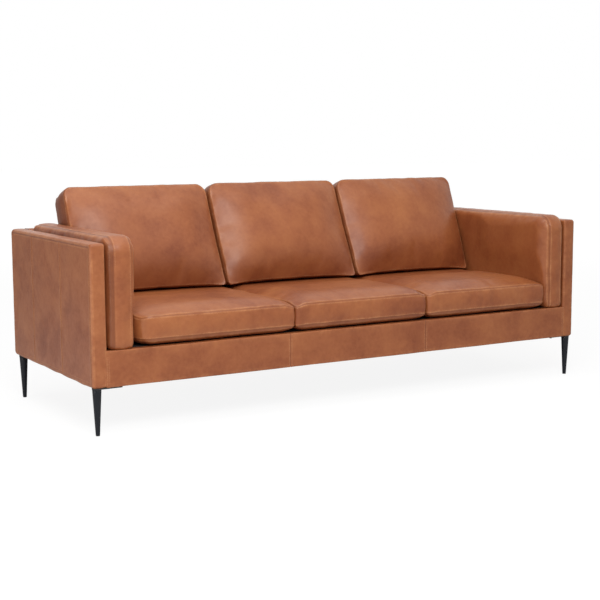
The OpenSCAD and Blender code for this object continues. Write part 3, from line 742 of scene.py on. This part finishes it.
def seat_cushion(name, i):
    cover, core = "seat_cover_" + name, "seat_core_" + name
    low, high = box(cover)
    inside = [d * MM for d in SEAT_IN[i]]
    left, right = low[0] + inside[0], high[0] - inside[1]
    half = ((right - left) / 2, (high[1] - low[1] - ZIP_ROOM) / 2)

    def place(p):
        """The front corners hang a little at the top."""
        near = [smooth((np.abs(p[:, a]) - half[a] + reach * MM) / (reach * MM)) * (p[:, 1] < 0)
                for a, reach in ((0, 45), (1, 70))]
        share = (p[:, 2] / WALL_HIGH).clip(0, 1)
        p = p - np.outer(CORNER_DROP * near[0] * near[1] * share, (0, 0, 1))
        return p + np.array([(left + right) / 2, (low[1] + high[1] - ZIP_ROOM) / 2, low[2]])

    c = SEAT_CORNERS[i]
    return Boxed("seat_cushion_" + name, "seat_" + name, cover, core, 40 + i, half,
                 (WALL_LOW, WALL_HIGH), (0.6 * MM, high[2] - low[2] - 1 * MM), (c[:2], c[2:]),
                 place, roll=((55, 55, 40), (105, 125, 70)), flat=(0, 0.3), dome=(0, 0.12))


def back_cushion(name, i):
    cover, core = "back_cushion_cover_" + name, "back_fill_" + name
    low, high = box(cover)
    origin = np.array([(low[0] + high[0]) / 2, slope_y(seat_top), seat_top])
    up = np.array([0, math.sin(LEAN), math.cos(LEAN)])
    out = np.array([0, -math.cos(LEAN), math.sin(LEAN)])
    rear_seam, front_seam = BACK_SEAMS_AT
    tall = (high[2] - seat_top - front_seam * math.sin(LEAN)) / math.cos(LEAN) - 4 * MM
    tall += HEAD_RISE[i]
    half = ((high[0] - low[0]) / 2 - 5 * MM, tall / 2)

    def place(p):
        """Up and out along the slope, the foot bowed over the seat and cut level with it."""
        x, y, z = p[:, :1], p[:, 1:2], p[:, 2:]
        share = np.clip((y + half[1]) / tall, 0, 1)
        side = np.clip(np.abs(x) / half[0], 0, 1) ** 3
        if name == "right":  # its outer edge spreads towards the head
            x = x + np.clip(x / half[0], 0, 1) ** 2 * (5 * share - 8 * (1 - share)) * MM
        seam = FOOT_SEAM[0] + (FOOT_SEAM[1] - FOOT_SEAM[0]) * side
        seam = (seam + SINK) * smooth((z - rear_seam) / (front_seam - rear_seam)) - SINK
        foot = (seam - z * math.sin(LEAN)) / math.cos(LEAN)
        rise = share * tall + (1 - share) * foot + np.minimum(y + half[1], 0)
        ears = np.where(x > 0, EARS[i][1], EARS[i][0])
        deep = 1 + ears * side * (1 - share) ** 2
        return origin + x * np.array([1, 0, 0]) + rise * up + z * deep * out

    c = BACK_CORNERS[i]
    return Boxed("back_cushion_" + name, "back_" + name, cover, core, 60 + i, half, BACK_SEAMS_AT,
                 (1 * MM, BACK_THICK), (c[:2], c[2:]), place, roll=((40, 40, 40), (150, 100, 90)),
                 flat=(0, 0.65), dome=(0, 0.25), belly=3, slump=0.16)


PAD_SEAMS = {"left": (30 * MM, 6 * MM), "right": (14 * MM, 23 * MM)}  # in from outer and inner face
PAD_ROLL = {"left": 26, "right": 60}  # how far in its inner face rolls over at the front, in mm
PAD_OUTER = {"left": 8 * MM, "right": 6 * MM}  # outer face, in from its place
PAD_BULGE = 14 * MM  # how far the inner face of a pad swells out over the seat
PAD_FRONT = -370 * MM  # the front end of a pad lies ahead of this
# the left pad's front end has no stitches this near its outer face and below this height
PAD_BARE = (45 * MM, 590 * MM)
PAD_SHADE_BELOW = 675 * MM  # painted shade: the outer face of a pad, in its gap against the arm shell, is painted dark below this
PAD_FLAT_SEAMS = 660 * MM  # below this the left pad's seams are shallow at the front


def arm_pad(name, seed):
    cover, core = "arm_pad_cover_" + name, "arm_pad_core_" + name
    low, high = box(cover)
    inner, outer = (high[0], low[0]) if name == "left" else (low[0], high[0])
    way = -SIDES[name]
    faces = sorted((outer + way * PAD_OUTER[name], inner + way * PAD_BULGE))
    seams = sorted((outer + way * PAD_SEAMS[name][0], inner - way * PAD_SEAMS[name][1]))
    run, tall = high[1] - low[1], high[2] - low[2] - 4 * MM
    half = (run / 2, tall / 2)

    def place(p):
        """Own X runs back from the front to the slope of the inner back. The pad is nipped in
        beside the seat cushion and fuller above it."""
        z = p[:, 1] + half[1] + low[2]
        rear = np.minimum(slope_y(z) - SLOPE_GAP, high[1])
        share = (p[:, 0] + half[0]) / run
        inward = np.clip((p[:, 2] - outer) / (inner - outer), 0, 1)
        fuller = 3 * MM * smooth((z - seat_top + 40 * MM) / (70 * MM))
        fuller = fuller * np.clip(1 - share, 0, 1) ** 0.5
        return np.stack([p[:, 2] + way * inward * fuller, low[1] + share * (rear - low[1]), z], 1)

    def order(inner, outer):
        return (outer, inner) if way > 0 else (inner, outer)

    return Boxed("arm_pad_" + name, "frame", cover, core, seed, half, seams, faces,
                 ((20, 58), (8, 14)), place, roll=order((PAD_ROLL[name], 70, 30), (22, 18, 15)),
                 flat=order(0.1, 0), dome=order(0.2, 0.05), belly=4)


for i, name in enumerate(ROW):
    forms["seat_" + name] = seat_cushion(name, i)
    forms["back_" + name] = back_cushion(name, i)
for i, name in enumerate(SIDES):
    forms["pad_" + name] = arm_pad(name, 80 + i)

SWELL = {"seat": (3.0, 11 * MM), "back": (3.2, 15 * MM), "pad": (2.5, 6 * MM)}  # pressure, cap
for key, form in forms.items():
    rests = form.low & (key[:3] != "pad")
    form.start_cloth(SWELL[key.split("_")[0]][0], form.rim | rests)
for f in range(1, SIM_FRAMES + 1):
    scene.frame_set(f)
for key, form in forms.items():
    form.take_cloth(SWELL[key.split("_")[0]][1])
scene.frame_set(1)


SEAT_CROWN = 15 * MM  # how far a seat cushion may rise out of its place, ahead of its back cushion
FOOT_SAG = 6 * MM  # how far the corners of a back cushion's foot hang into the seat


def keep_seat(p, low, high):
    """Holds a seat cushion inside its place, level under the back cushion."""
    p[:, 0] = np.clip(p[:, 0], low[0], high[0])
    p[:, 1] = np.clip(p[:, 1], low[1] - 5 * MM, high[1] - ZIP_ROOM)
    cap = high[2] - SINK - 0.5 * MM + SEAT_CROWN * smooth((60 * MM - p[:, 1]) / (200 * MM))
    p[:, 2] = under(np.maximum(p[:, 2], low[2] + 0.2 * MM), cap)
    return p


def keep_back(p, low, high):
    """Holds a back cushion inside its place, a little sunk into the seat."""
    p[:, 0] = np.clip(p[:, 0], low[0], high[0])
    p[:, 1] = np.minimum(p[:, 1], slope_y(p[:, 2]) - SLOPE_GAP)
    side = np.clip(np.abs(2 * p[:, 0] - low[0] - high[0]) / (high[0] - low[0]), 0, 1)
    p[:, 2] = np.maximum(p[:, 2], low[2] - SINK - FOOT_SAG * side ** 6)
    return p


def keep_pad(p, low, high):
    """Holds a pad inside its place, but for its bulge over the seat."""
    over_seat = smooth((p[:, 2] - seat_top + 5 * MM) / (130 * MM)) * smooth(
        (60 * MM - p[:, 1]) / (120 * MM))
    inner = PAD_BULGE * over_seat - 0.2 * MM
    p[:, 0] = np.clip(p[:, 0], low[0] - (inner if low[0] > 0 else -2 * MM),
                      high[0] + (inner if low[0] < 0 else -2 * MM))
    p[:, 1] = np.minimum(p[:, 1], slope_y(p[:, 2]) - SLOPE_GAP)
    p[:, 2] = under(np.maximum(p[:, 2], low[2]), high[2], 1 * MM)
    return p


SEAT_UNDER_SHADE, BACK_WALL_SHADE, PAD_INNER_SHADE = 0.7, 0.8, 0.45  # painted shade: how dark the seat undersides, the back cushions' side walls and the right pad's inner face are painted, where they lie in shade
for i, name in enumerate(ROW):
    seat, back = forms["seat_" + name], forms["back_" + name]
    # painted shade on the underside of each seat cushion
    seat.finish("seat_" + name, 11 + i, keep_seat, dark=SEAT_UNDER_SHADE * seat.low)
    seat.sew_rings((-1, 2), (-3, 0), (2, 0))
    above = back.points[:, 2] - seat_top
    # painted shade on each back cushion: its foot over the seat, and its side walls between the
    # cushions
    foot = FOOT_SHADE[i] * smooth((190 * MM - above) / (170 * MM))
    back.finish("back_" + name, 21 + i, keep_back, soft=2.4,
                fade=0.1 + 0.65 * smooth(above / (60 * MM)),
                dark=np.maximum(foot, BACK_WALL_SHADE * back.wall))
    back.sew_rings(*RINGS)
for i, name in enumerate(SIDES):
    pad, on_left = forms["pad_" + name], name == "left"
    y, z = pad.points[:, 1], pad.points[:, 2]
    front = smooth((PAD_FRONT - y) / (20 * MM)) * on_left
    outer, inner = (pad.low, pad.high) if on_left else (pad.high, pad.low)
    # painted shade on the pads: low on the outer face against the shell, and on the right pad's
    # inner face
    dark = np.maximum(outer * smooth((PAD_SHADE_BELOW - z) / (15 * MM)),
                      PAD_INNER_SHADE * (inner & (not on_left)) * smooth(pad.off / (60 * MM)))
    pad.finish("pad_" + name, 31 + i, keep_pad, dark=dark,
               fade=1 - 0.7 * front * smooth((PAD_FLAT_SEAMS - z) / (60 * MM)))
    bare_x = box(pad.replaced[0])[0][0] + PAD_BARE[0]
    pad.sew_rings(*RINGS, plain=lambda v: (
        on_left and v.x < bare_x and v.y < PAD_FRONT and v.z < PAD_BARE[1]))

# ---- arm shells ------------------------------------------------------------

SEAM_IN = 13 * MM  # the outer panel's seam, in from the edge of the shell
ARM_SEAMS = (-122 * MM, 175 * MM)  # Y of the upright seams of the outer panel
ARM_RINGS = (0, 1.2, 3.4, 6, 8, 10.8, 13, 15.2, 18, 24)  # lines round the edge and the seam, in mm


def arm_shell(name, side, i):
    """The leather over an arm, with its seams on the outer face."""
    seed, cover = 100 + 10 * i, "arm_cover_" + name
    low, high = box(cover)
    centre, half = (low + high) / 2, (high - low) / 2
    marks = [y - centre[1] for y in ARM_SEAMS]

    def place(p):
        return np.stack([p[:, 2], p[:, 0] + centre[1], p[:, 1] + centre[2]], 1)

    form = Boxed("arm_shell_" + name, "frame", cover, "arm_wadding_" + name, seed, half[1:],
                 (low[0] + EDGE_R, high[0] - EDGE_R), (low[0] - 0.6 * MM, high[0] + 0.6 * MM),
                 ((8, 11), (16, 19)), place, roll=((9, 9, 9), (9, 9, 9)), dome=(0.05, 0.05),
                 belly=0.8, rings=ARM_RINGS, step=13 * MM, marks=(marks, ()))
    x, y, _ = form.grid.flat.T
    outer = form.high if side > 0 else form.low
    above = form.depth < y + half[2] - 1 * MM  # not along the lower edge
    off = np.where(outer & above, np.abs(form.depth - SEAM_IN), 1.0)
    for mark in marks:
        off = np.minimum(off, np.where(outer & (form.depth > SEAM_IN - MM), np.abs(x - mark), 1.0))
    form.off = off
    uneven = 1.1 * MM * wave(form.points, 120 * MM, seed + 5)
    form.points[:, 2] += uneven * hump(y + half[2], 12 * MM)  # the lower edge
    wear = 0.6 * hump(np.where(form.wall, 9 * MM, form.depth), 8 * MM)

    def keep(p, low, high):
        """Holds the shell's inner face off the pad."""
        p[:, 0] = p[:, 0].clip(low[0], 2) if side > 0 else p[:, 0].clip(-2, high[0])
        return p

    form.finish("arm_" + name, 3 + i, keep, soft=0.5, pucker=0.35, wear=wear)
    level = -1 if side > 0 else 0
    form.sew_rings((level, 4), (level, 8))
    face = (low, high)[side > 0][0]
    for y in ARM_SEAMS:
        for d in SEAM_ROWS:
            sew_straight(form.surface, (face, y + d, 0), 2, low[2] + 6 * MM,
                         high[2] - SEAM_IN - 4 * MM)


for i, (name, side) in enumerate(SIDES.items()):
    arm_shell(name, side, i)

# ---- front rail, deck and underside ----------------------------------------


def slab(name, low, high, radius, material, seed, seams=(), soft=0.45, step=14 * MM):
    """A box with round edges, uneven by about soft mm, grooved where X is one of the seams."""
    ends = [radius * (1 - math.tan(math.radians(a))) for a in (0, 12, 24, 36)] + [radius]
    grid = Grid(*(lines(low[a], high[a], step, seams if a == 0 else (), ends) for a in range(3)))
    inner = grid.half - radius
    p = grid.flat - grid.middle
    q = np.clip(p, -inner, inner)
    way = (p - q) / np.linalg.norm(p - q, axis=1, keepdims=True)
    p = grid.middle + q + way * radius
    off = np.min([np.abs(p[:, 0] - x) for x in (*seams, 9)], axis=0)
    height, crease, lip = relief(off)
    shift = (soft * wave(p, 260 * MM, seed) + 0.3 * soft * wave(p, 80 * MM, seed + 1)) * MM
    edge = np.sort(np.abs(grid.flat - grid.middle) - grid.half, axis=1)[:, 1]
    wear = np.maximum(0.5 * np.exp(edge / (6 * MM)), 0.4 * lip)
    wear = wear * (0.6 + 0.4 * wave(p, 70 * MM, seed + 2))
    obj = make_object(name, p + way * (shift + height)[:, None], grid.quads, material, wear=wear,
                      crease=crease)
    subdivide(obj)
    return obj


RAIL_SEAMS = (-312 * MM, 314 * MM)
RAIL_HEMS = (4 * MM, 11 * MM)  # rows of stitches, in from the ends of the rail
RAIL_LAP = 6 * MM  # the rail's leather runs on over the edges of the arm shells
low, high = rail_low - [RAIL_LAP, 0.5 * MM, 0], rail_high + [RAIL_LAP, 0, 0]
rail = slab("front_rail_leather", low, high, 4 * MM, leather("front_rail", 7), 120, RAIL_SEAMS)
add_piece(rail, "frame", "leather", "front_rail_cover", "front_rail_wadding")
surface = surface_of(rail)
for x in ([seam + d for seam in RAIL_SEAMS for d in SEAM_ROWS] + [low[0] + d for d in RAIL_HEMS]
          + [high[0] - d for d in RAIL_HEMS]):
    sew_straight(surface, (x, low[1], 0), 2, low[2] + 8 * MM, high[2] - 4 * MM)

felt = slab("deck_felt_pad", *box("deck_felt"), 2 * MM, FELT, 150, soft=0.1, step=30 * MM)
add_piece(felt, "frame", "felt", "deck_felt")


SHEET_T = 0.7 * MM
HEM = 9 * MM  # the turned edge of a sheet


def sheet(name, node, material, level, sag, seed):
    """A thin stretched cloth with a turned hem, over the place of a CAD node."""
    low, high = box(node)
    grid = Grid(*(lines(low[a] + MM, high[a] - MM, 16 * MM, ends=(3 * MM, HEM, 12 * MM))
                  for a in range(2)), np.array([level - SHEET_T / 2, level + SHEET_T / 2]))
    p = grid.flat.copy()
    off = np.abs(p - grid.middle)[:, :2]
    inside = (grid.half[:2] - off).min(1)
    shape = (1 - (off / grid.half[:2]) ** 2).prod(1)
    p[:, 2] -= sag * shape + 0.12 * MM * (1 + wave(p, 90 * MM, seed)) * smooth(inside / (30 * MM))
    hem = hump(inside - HEM, 3 * MM)
    p[:, 2] -= 0.25 * MM * hem
    obj = make_object(name, p, grid.quads, material, crease=hem)
    add_piece(obj, "frame", "lining", node)
    return surface_of(obj)


surface = sheet("deck_lining", "deck_cloth", LINING, deck_z - 0.6 * MM, 0, 160)
low, high = box("deck_cloth")
for x in (low[0] + 15 * MM, -low[0] / 3, low[0] / 3, high[0] - 15 * MM):
    sew_straight(surface, (x, 0, deck_z), 1, low[1] + 20 * MM, high[1])
sheet("dust_cover_cloth", "dust_cover", DUST, base_z + 1.2 * MM, 2 * MM, 170)
low, high = box("dust_cover")


def extend(pts, faces, more, more_faces):
    """Adds a part's points and faces to a mesh's."""
    faces += [[len(pts) + k for k in face] for face in more_faces]
    pts += more


def staples(spots, ways):
    """Wire staples through the hem of the dust cover: a crown with two bent ends."""
    pts, faces = [], []
    for (x, y), (dx, dy) in zip(spots, ways):
        for s0, s1, z0, z1 in ((-5, 5, 0.1, -0.5), (-5, -4.3, 0.9, 0.1), (4.3, 5, 0.9, 0.1)):
            corners = [(s, w, z) for z, w in ((z0, 0.4), (z1, 0.3))
                       for s, w in ((s0, -w), (s1, -w), (s1, w), (s0, w))]
            extend(pts, faces, [(x + (dx * s - dy * w) * MM, y + (dy * s + dx * w) * MM,
                                 base_z + z * MM - 0.2 * MM) for s, w, z in corners],
                   ((0, 1, 2, 3), (7, 6, 5, 4), (4, 5, 1, 0), (5, 6, 2, 1), (6, 7, 3, 2),
                    (7, 4, 0, 3)))
    add_piece(make_object("dust_cover_staples", pts, faces, ZINC), "frame", "steel")


STAPLE_PITCH, STAPLE_IN = 38 * MM, 6 * MM  # spacing, and how far in from the edge
spots = [(x, y) for y in (low[1] + STAPLE_IN, high[1] - STAPLE_IN)
         for x in np.arange(low[0] + 80 * MM, high[0] - 70 * MM, STAPLE_PITCH)]
ways = [(0.96, 0.28)] * len(spots)
spots += [(x, y) for x in (low[0] + STAPLE_IN, high[0] - STAPLE_IN)
          for y in np.arange(low[1] + 80 * MM, high[1] - 10 * MM, STAPLE_PITCH)]
ways += [(0.28, 0.96)] * (len(spots) - len(ways))
staples(spots, ways)

# ---- back ------------------------------------------------------------------


def arc(centre, radius, start, stop, count):
    """Points on an arc, from one angle in degrees to another."""
    return [(centre[0] + radius * math.cos(a), centre[1] + radius * math.sin(a))
            for a in np.linspace(math.radians(start), math.radians(stop), count)]


def back_profile():
    """Section of the back unit in Y and Z, anticlockwise seen from +X."""
    r, lean = EDGE_R, math.degrees(LEAN)
    rear, top, bottom, front = back_high[1], back_high[2], back_low[2], back_low[1]
    head = (back_top_y + r * (1 + math.sin(LEAN)) / math.cos(LEAN), top - r)
    points = arc((rear - r, bottom + r), r, 270, 360, 6)
    points += [(rear, z) for z in (bottom + 16 * MM, bottom + 20 * MM, bottom + 26 * MM)]
    points += [(rear, z) for z in np.linspace(bottom + r, top - r, 34)[3:-3]]
    points += [(rear, top - d * MM) for d in (24, 18, SEAM_IN / MM, 11)]
    points += arc((rear - r, top - r), r, 0, 90, 6)
    points += [(y, top) for y in np.linspace(rear - r, head[0], 6)[1:-1]]
    points += arc(head, r, 90, 180 - lean, 6)
    start, foot = points[-1], (slope_y(deck_z - 20 * MM), deck_z - 20 * MM)
    points += [(start[0] + (foot[0] - start[0]) * t, start[1] + (foot[1] - start[1]) * t)
               for t in np.linspace(0, 1, 30)[1:]]
    points += [(front, z) for z in np.linspace(foot[1] - 8 * MM, bottom + r, 8)]
    return np.array(points + arc((front + r, bottom + r), r, 180, 270, 5))


BACK_SEAMS = (-313 * MM, 313 * MM)
rear = back_high[1]
profile = back_profile()
xs = lines(-inner_x, inner_x, 16 * MM, BACK_SEAMS)
m, n = len(profile), len(xs)
p = np.array([(x, y, z) for x in xs for y, z in profile])
quads = np.array([(i * m + j, (i + 1) * m + j, (i + 1) * m + (j + 1) % m, i * m + (j + 1) % m)
                  for i in range(n - 1) for j in range(m)])
out = normals(p, quads)
off = np.min([np.abs(p[:, 0] - x) for x in BACK_SEAMS], axis=0)
rear_face = p[:, 1] > rear - 0.5 * MM
off = np.minimum(off, np.where(rear_face, np.abs(p[:, 2] - (back_high[2] - SEAM_IN)), 1))
height, crease, lip = relief(off)
shift = height + 0.5 * MM * wave(p, 300 * MM, 131)
shift = np.where(p[:, 1] < rear - 40 * MM, np.minimum(shift, 0.2 * MM), shift)
p = p + out * shift[:, None]
caps = [list(range(m))[::-1], list(range((n - 1) * m, n * m))]
back = make_object("back_shell", p, [*quads, *caps], leather("back_shell", 9),
                   wear=0.4 * lip, crease=crease)
subdivide(back)
add_piece(back, "frame", "leather", "back_cover", "back_foam")
surface = surface_of(back)
for x in BACK_SEAMS:
    for d in SEAM_ROWS:
        sew_straight(surface, (x + d, rear, 0), 2, base_z + 12 * MM, shell_top - 18 * MM)
for d in SEAM_ROWS:
    sew_straight(surface, (0, rear, shell_top - SEAM_IN + d), 0, -inner_x + 10 * MM,
                 inner_x - 8 * MM)

# ---- zips ------------------------------------------------------------------


ZIP_WIDE = 11 * MM
TOOTH = (1 * MM, 2.6 * MM, 1 * MM)
TOOTH_PITCH, TOOTH_SHIFT = 1.5 * MM, 0.55 * MM  # along the zip, and to either side
ZIP_ENDS = 6 * MM  # bare tape beyond the coil
SLIDER_IN = 12 * MM  # the slider's place, in from the end
SEEK = 30 * MM  # the search for the cushion starts this far out from its zip's place


def block(centre, axes, size, taper):
    """Corners and faces of a small block along three axes, its outer face tapered."""
    pts = [centre + axes[0] * size[0] * x * (taper if z > 0 else 1)
           + axes[1] * size[1] * y * (taper if z > 0 else 1) + axes[2] * size[2] * z
           for z in (-0.5, 0.5) for x, y in ((-0.5, -0.5), (0.5, -0.5), (0.5, 0.5), (-0.5, 0.5))]
    return pts, [(3, 2, 1, 0), (4, 5, 6, 7), (0, 1, 5, 4), (1, 2, 6, 5), (2, 3, 7, 6), (3, 0, 4, 7)]


def zipper(form, node, outward):
    """A closed coil zip laid on a cushion: two tapes, the coil between them and the slider."""
    low, high = box(node)
    along, outward = Vector((1, 0, 0)), Vector(outward)
    across = outward.cross(along)
    middle = Vector((low + high) / 2) + outward * SEEK
    length, wide = high[0] - low[0], ZIP_WIDE

    def lay(s, t, lift):
        """The point on the cushion at s along the zip and t across it, lifted off."""
        hit = form.surface.ray_cast(middle + along * s + across * t, -outward)[0]
        return hit + outward * lift

    columns = np.linspace(-length / 2, length / 2, 60)
    rows = (-wide / 2, -wide / 2 + 0.8 * MM, -1.6 * MM, 0, 1.6 * MM, wide / 2 - 0.8 * MM, wide / 2)
    lifts = (-0.2 * MM, 0.45 * MM, 0.5 * MM, 0.3 * MM, 0.5 * MM, 0.45 * MM, -0.2 * MM)
    w = len(rows)
    pts = [lay(s, t, h) for s in columns for t, h in zip(rows, lifts)]
    faces = [(i * w + j, i * w + j + 1, (i + 1) * w + j + 1, (i + 1) * w + j)
             for i in range(len(columns) - 1) for j in range(w - 1)]
    tape = make_object("zip_tape_" + node.replace("_zip", ""), pts, faces, WEBBING)
    add_piece(tape, form.body, "zip_tape", node)
    pts, faces = [], []
    axes = along, across, outward
    count = int(length / TOOTH_PITCH)
    for i in range(count):
        s = (i + 0.5) / count * (length - 2 * ZIP_ENDS) - length / 2 + ZIP_ENDS
        t = TOOTH_SHIFT if i % 2 else -TOOTH_SHIFT
        extend(pts, faces, *block(lay(s, t, 0.9 * MM), axes, TOOTH, 0.6))
    s = length / 2 - SLIDER_IN
    for shift, lift, size in (  # the slider, its bridge and its pull, in mm
            (0, 1.3, (9, 6.5, 1.6)), (3, 2.0, (3, 2, 0.8)), (-6, 2.0, (17, 4, 0.7))):
        extend(pts, faces, *block(lay(s + shift * MM, 0, lift * MM), axes,
                                  [v * MM for v in size], 0.8))
    teeth = make_object(tape.name.replace("tape", "coil"), pts, faces, COATED)
    teeth.data.polygons.foreach_set("use_smooth", [False] * len(faces))
    add_piece(teeth, form.body, "zip_tape")


for name in ROW:
    zipper(forms["seat_" + name], "seat_zip_" + name, (0, 1, 0))
    zipper(forms["back_" + name], "back_zip_" + name, (0, 0, -1))

# ---- thread ----------------------------------------------------------------

for body, (pts, faces) in thread_mesh.items():
    add_piece(make_object("stitches_" + body, pts, faces, THREAD), body, "leather")

# ---- legs ------------------------------------------------------------------

FOOT_R = 7.7 * MM
FOOT_SOFT = 1.2 * MM  # radius of the foot's edge
LEG_TURNS = 48


def leg(node):
    """A turned leg with a softened foot and shoulder."""
    low, high = box(node)
    centre, top_r, tall = (low + high) / 2, (high[0] - low[0]) / 2, high[2] - low[2]
    profile = arc((FOOT_R - FOOT_SOFT, FOOT_SOFT), FOOT_SOFT, -90, 0, 5)
    profile += [(FOOT_R + (top_r - FOOT_R) * t, FOOT_SOFT + (tall - FOOT_SOFT) * t)
                for t in np.linspace(0, 1, 10)[1:-1]]
    profile += [(top_r, tall - 0.6 * MM), (top_r - 0.5 * MM, tall)]
    n = LEG_TURNS
    points = [(centre[0] + r * math.cos(a), centre[1] + r * math.sin(a), low[2] + z)
              for r, z in profile for a in np.arange(n) * 2 * math.pi / n]
    faces = [(j * n + i, j * n + (i + 1) % n, (j + 1) * n + (i + 1) % n, (j + 1) * n + i)
             for j in range(len(profile) - 1) for i in range(n)]
    faces += [list(range(n))[::-1], list(range(len(points) - n, len(points)))]
    add_piece(make_object("turned_" + node, points, faces, LACQUER), "frame", "black_wood", node)


for node in ("leg_front_left", "leg_front_right", "leg_rear_right", "leg_rear_left"):
    leg(node)

# ---- floor -----------------------------------------------------------------

add_floor()
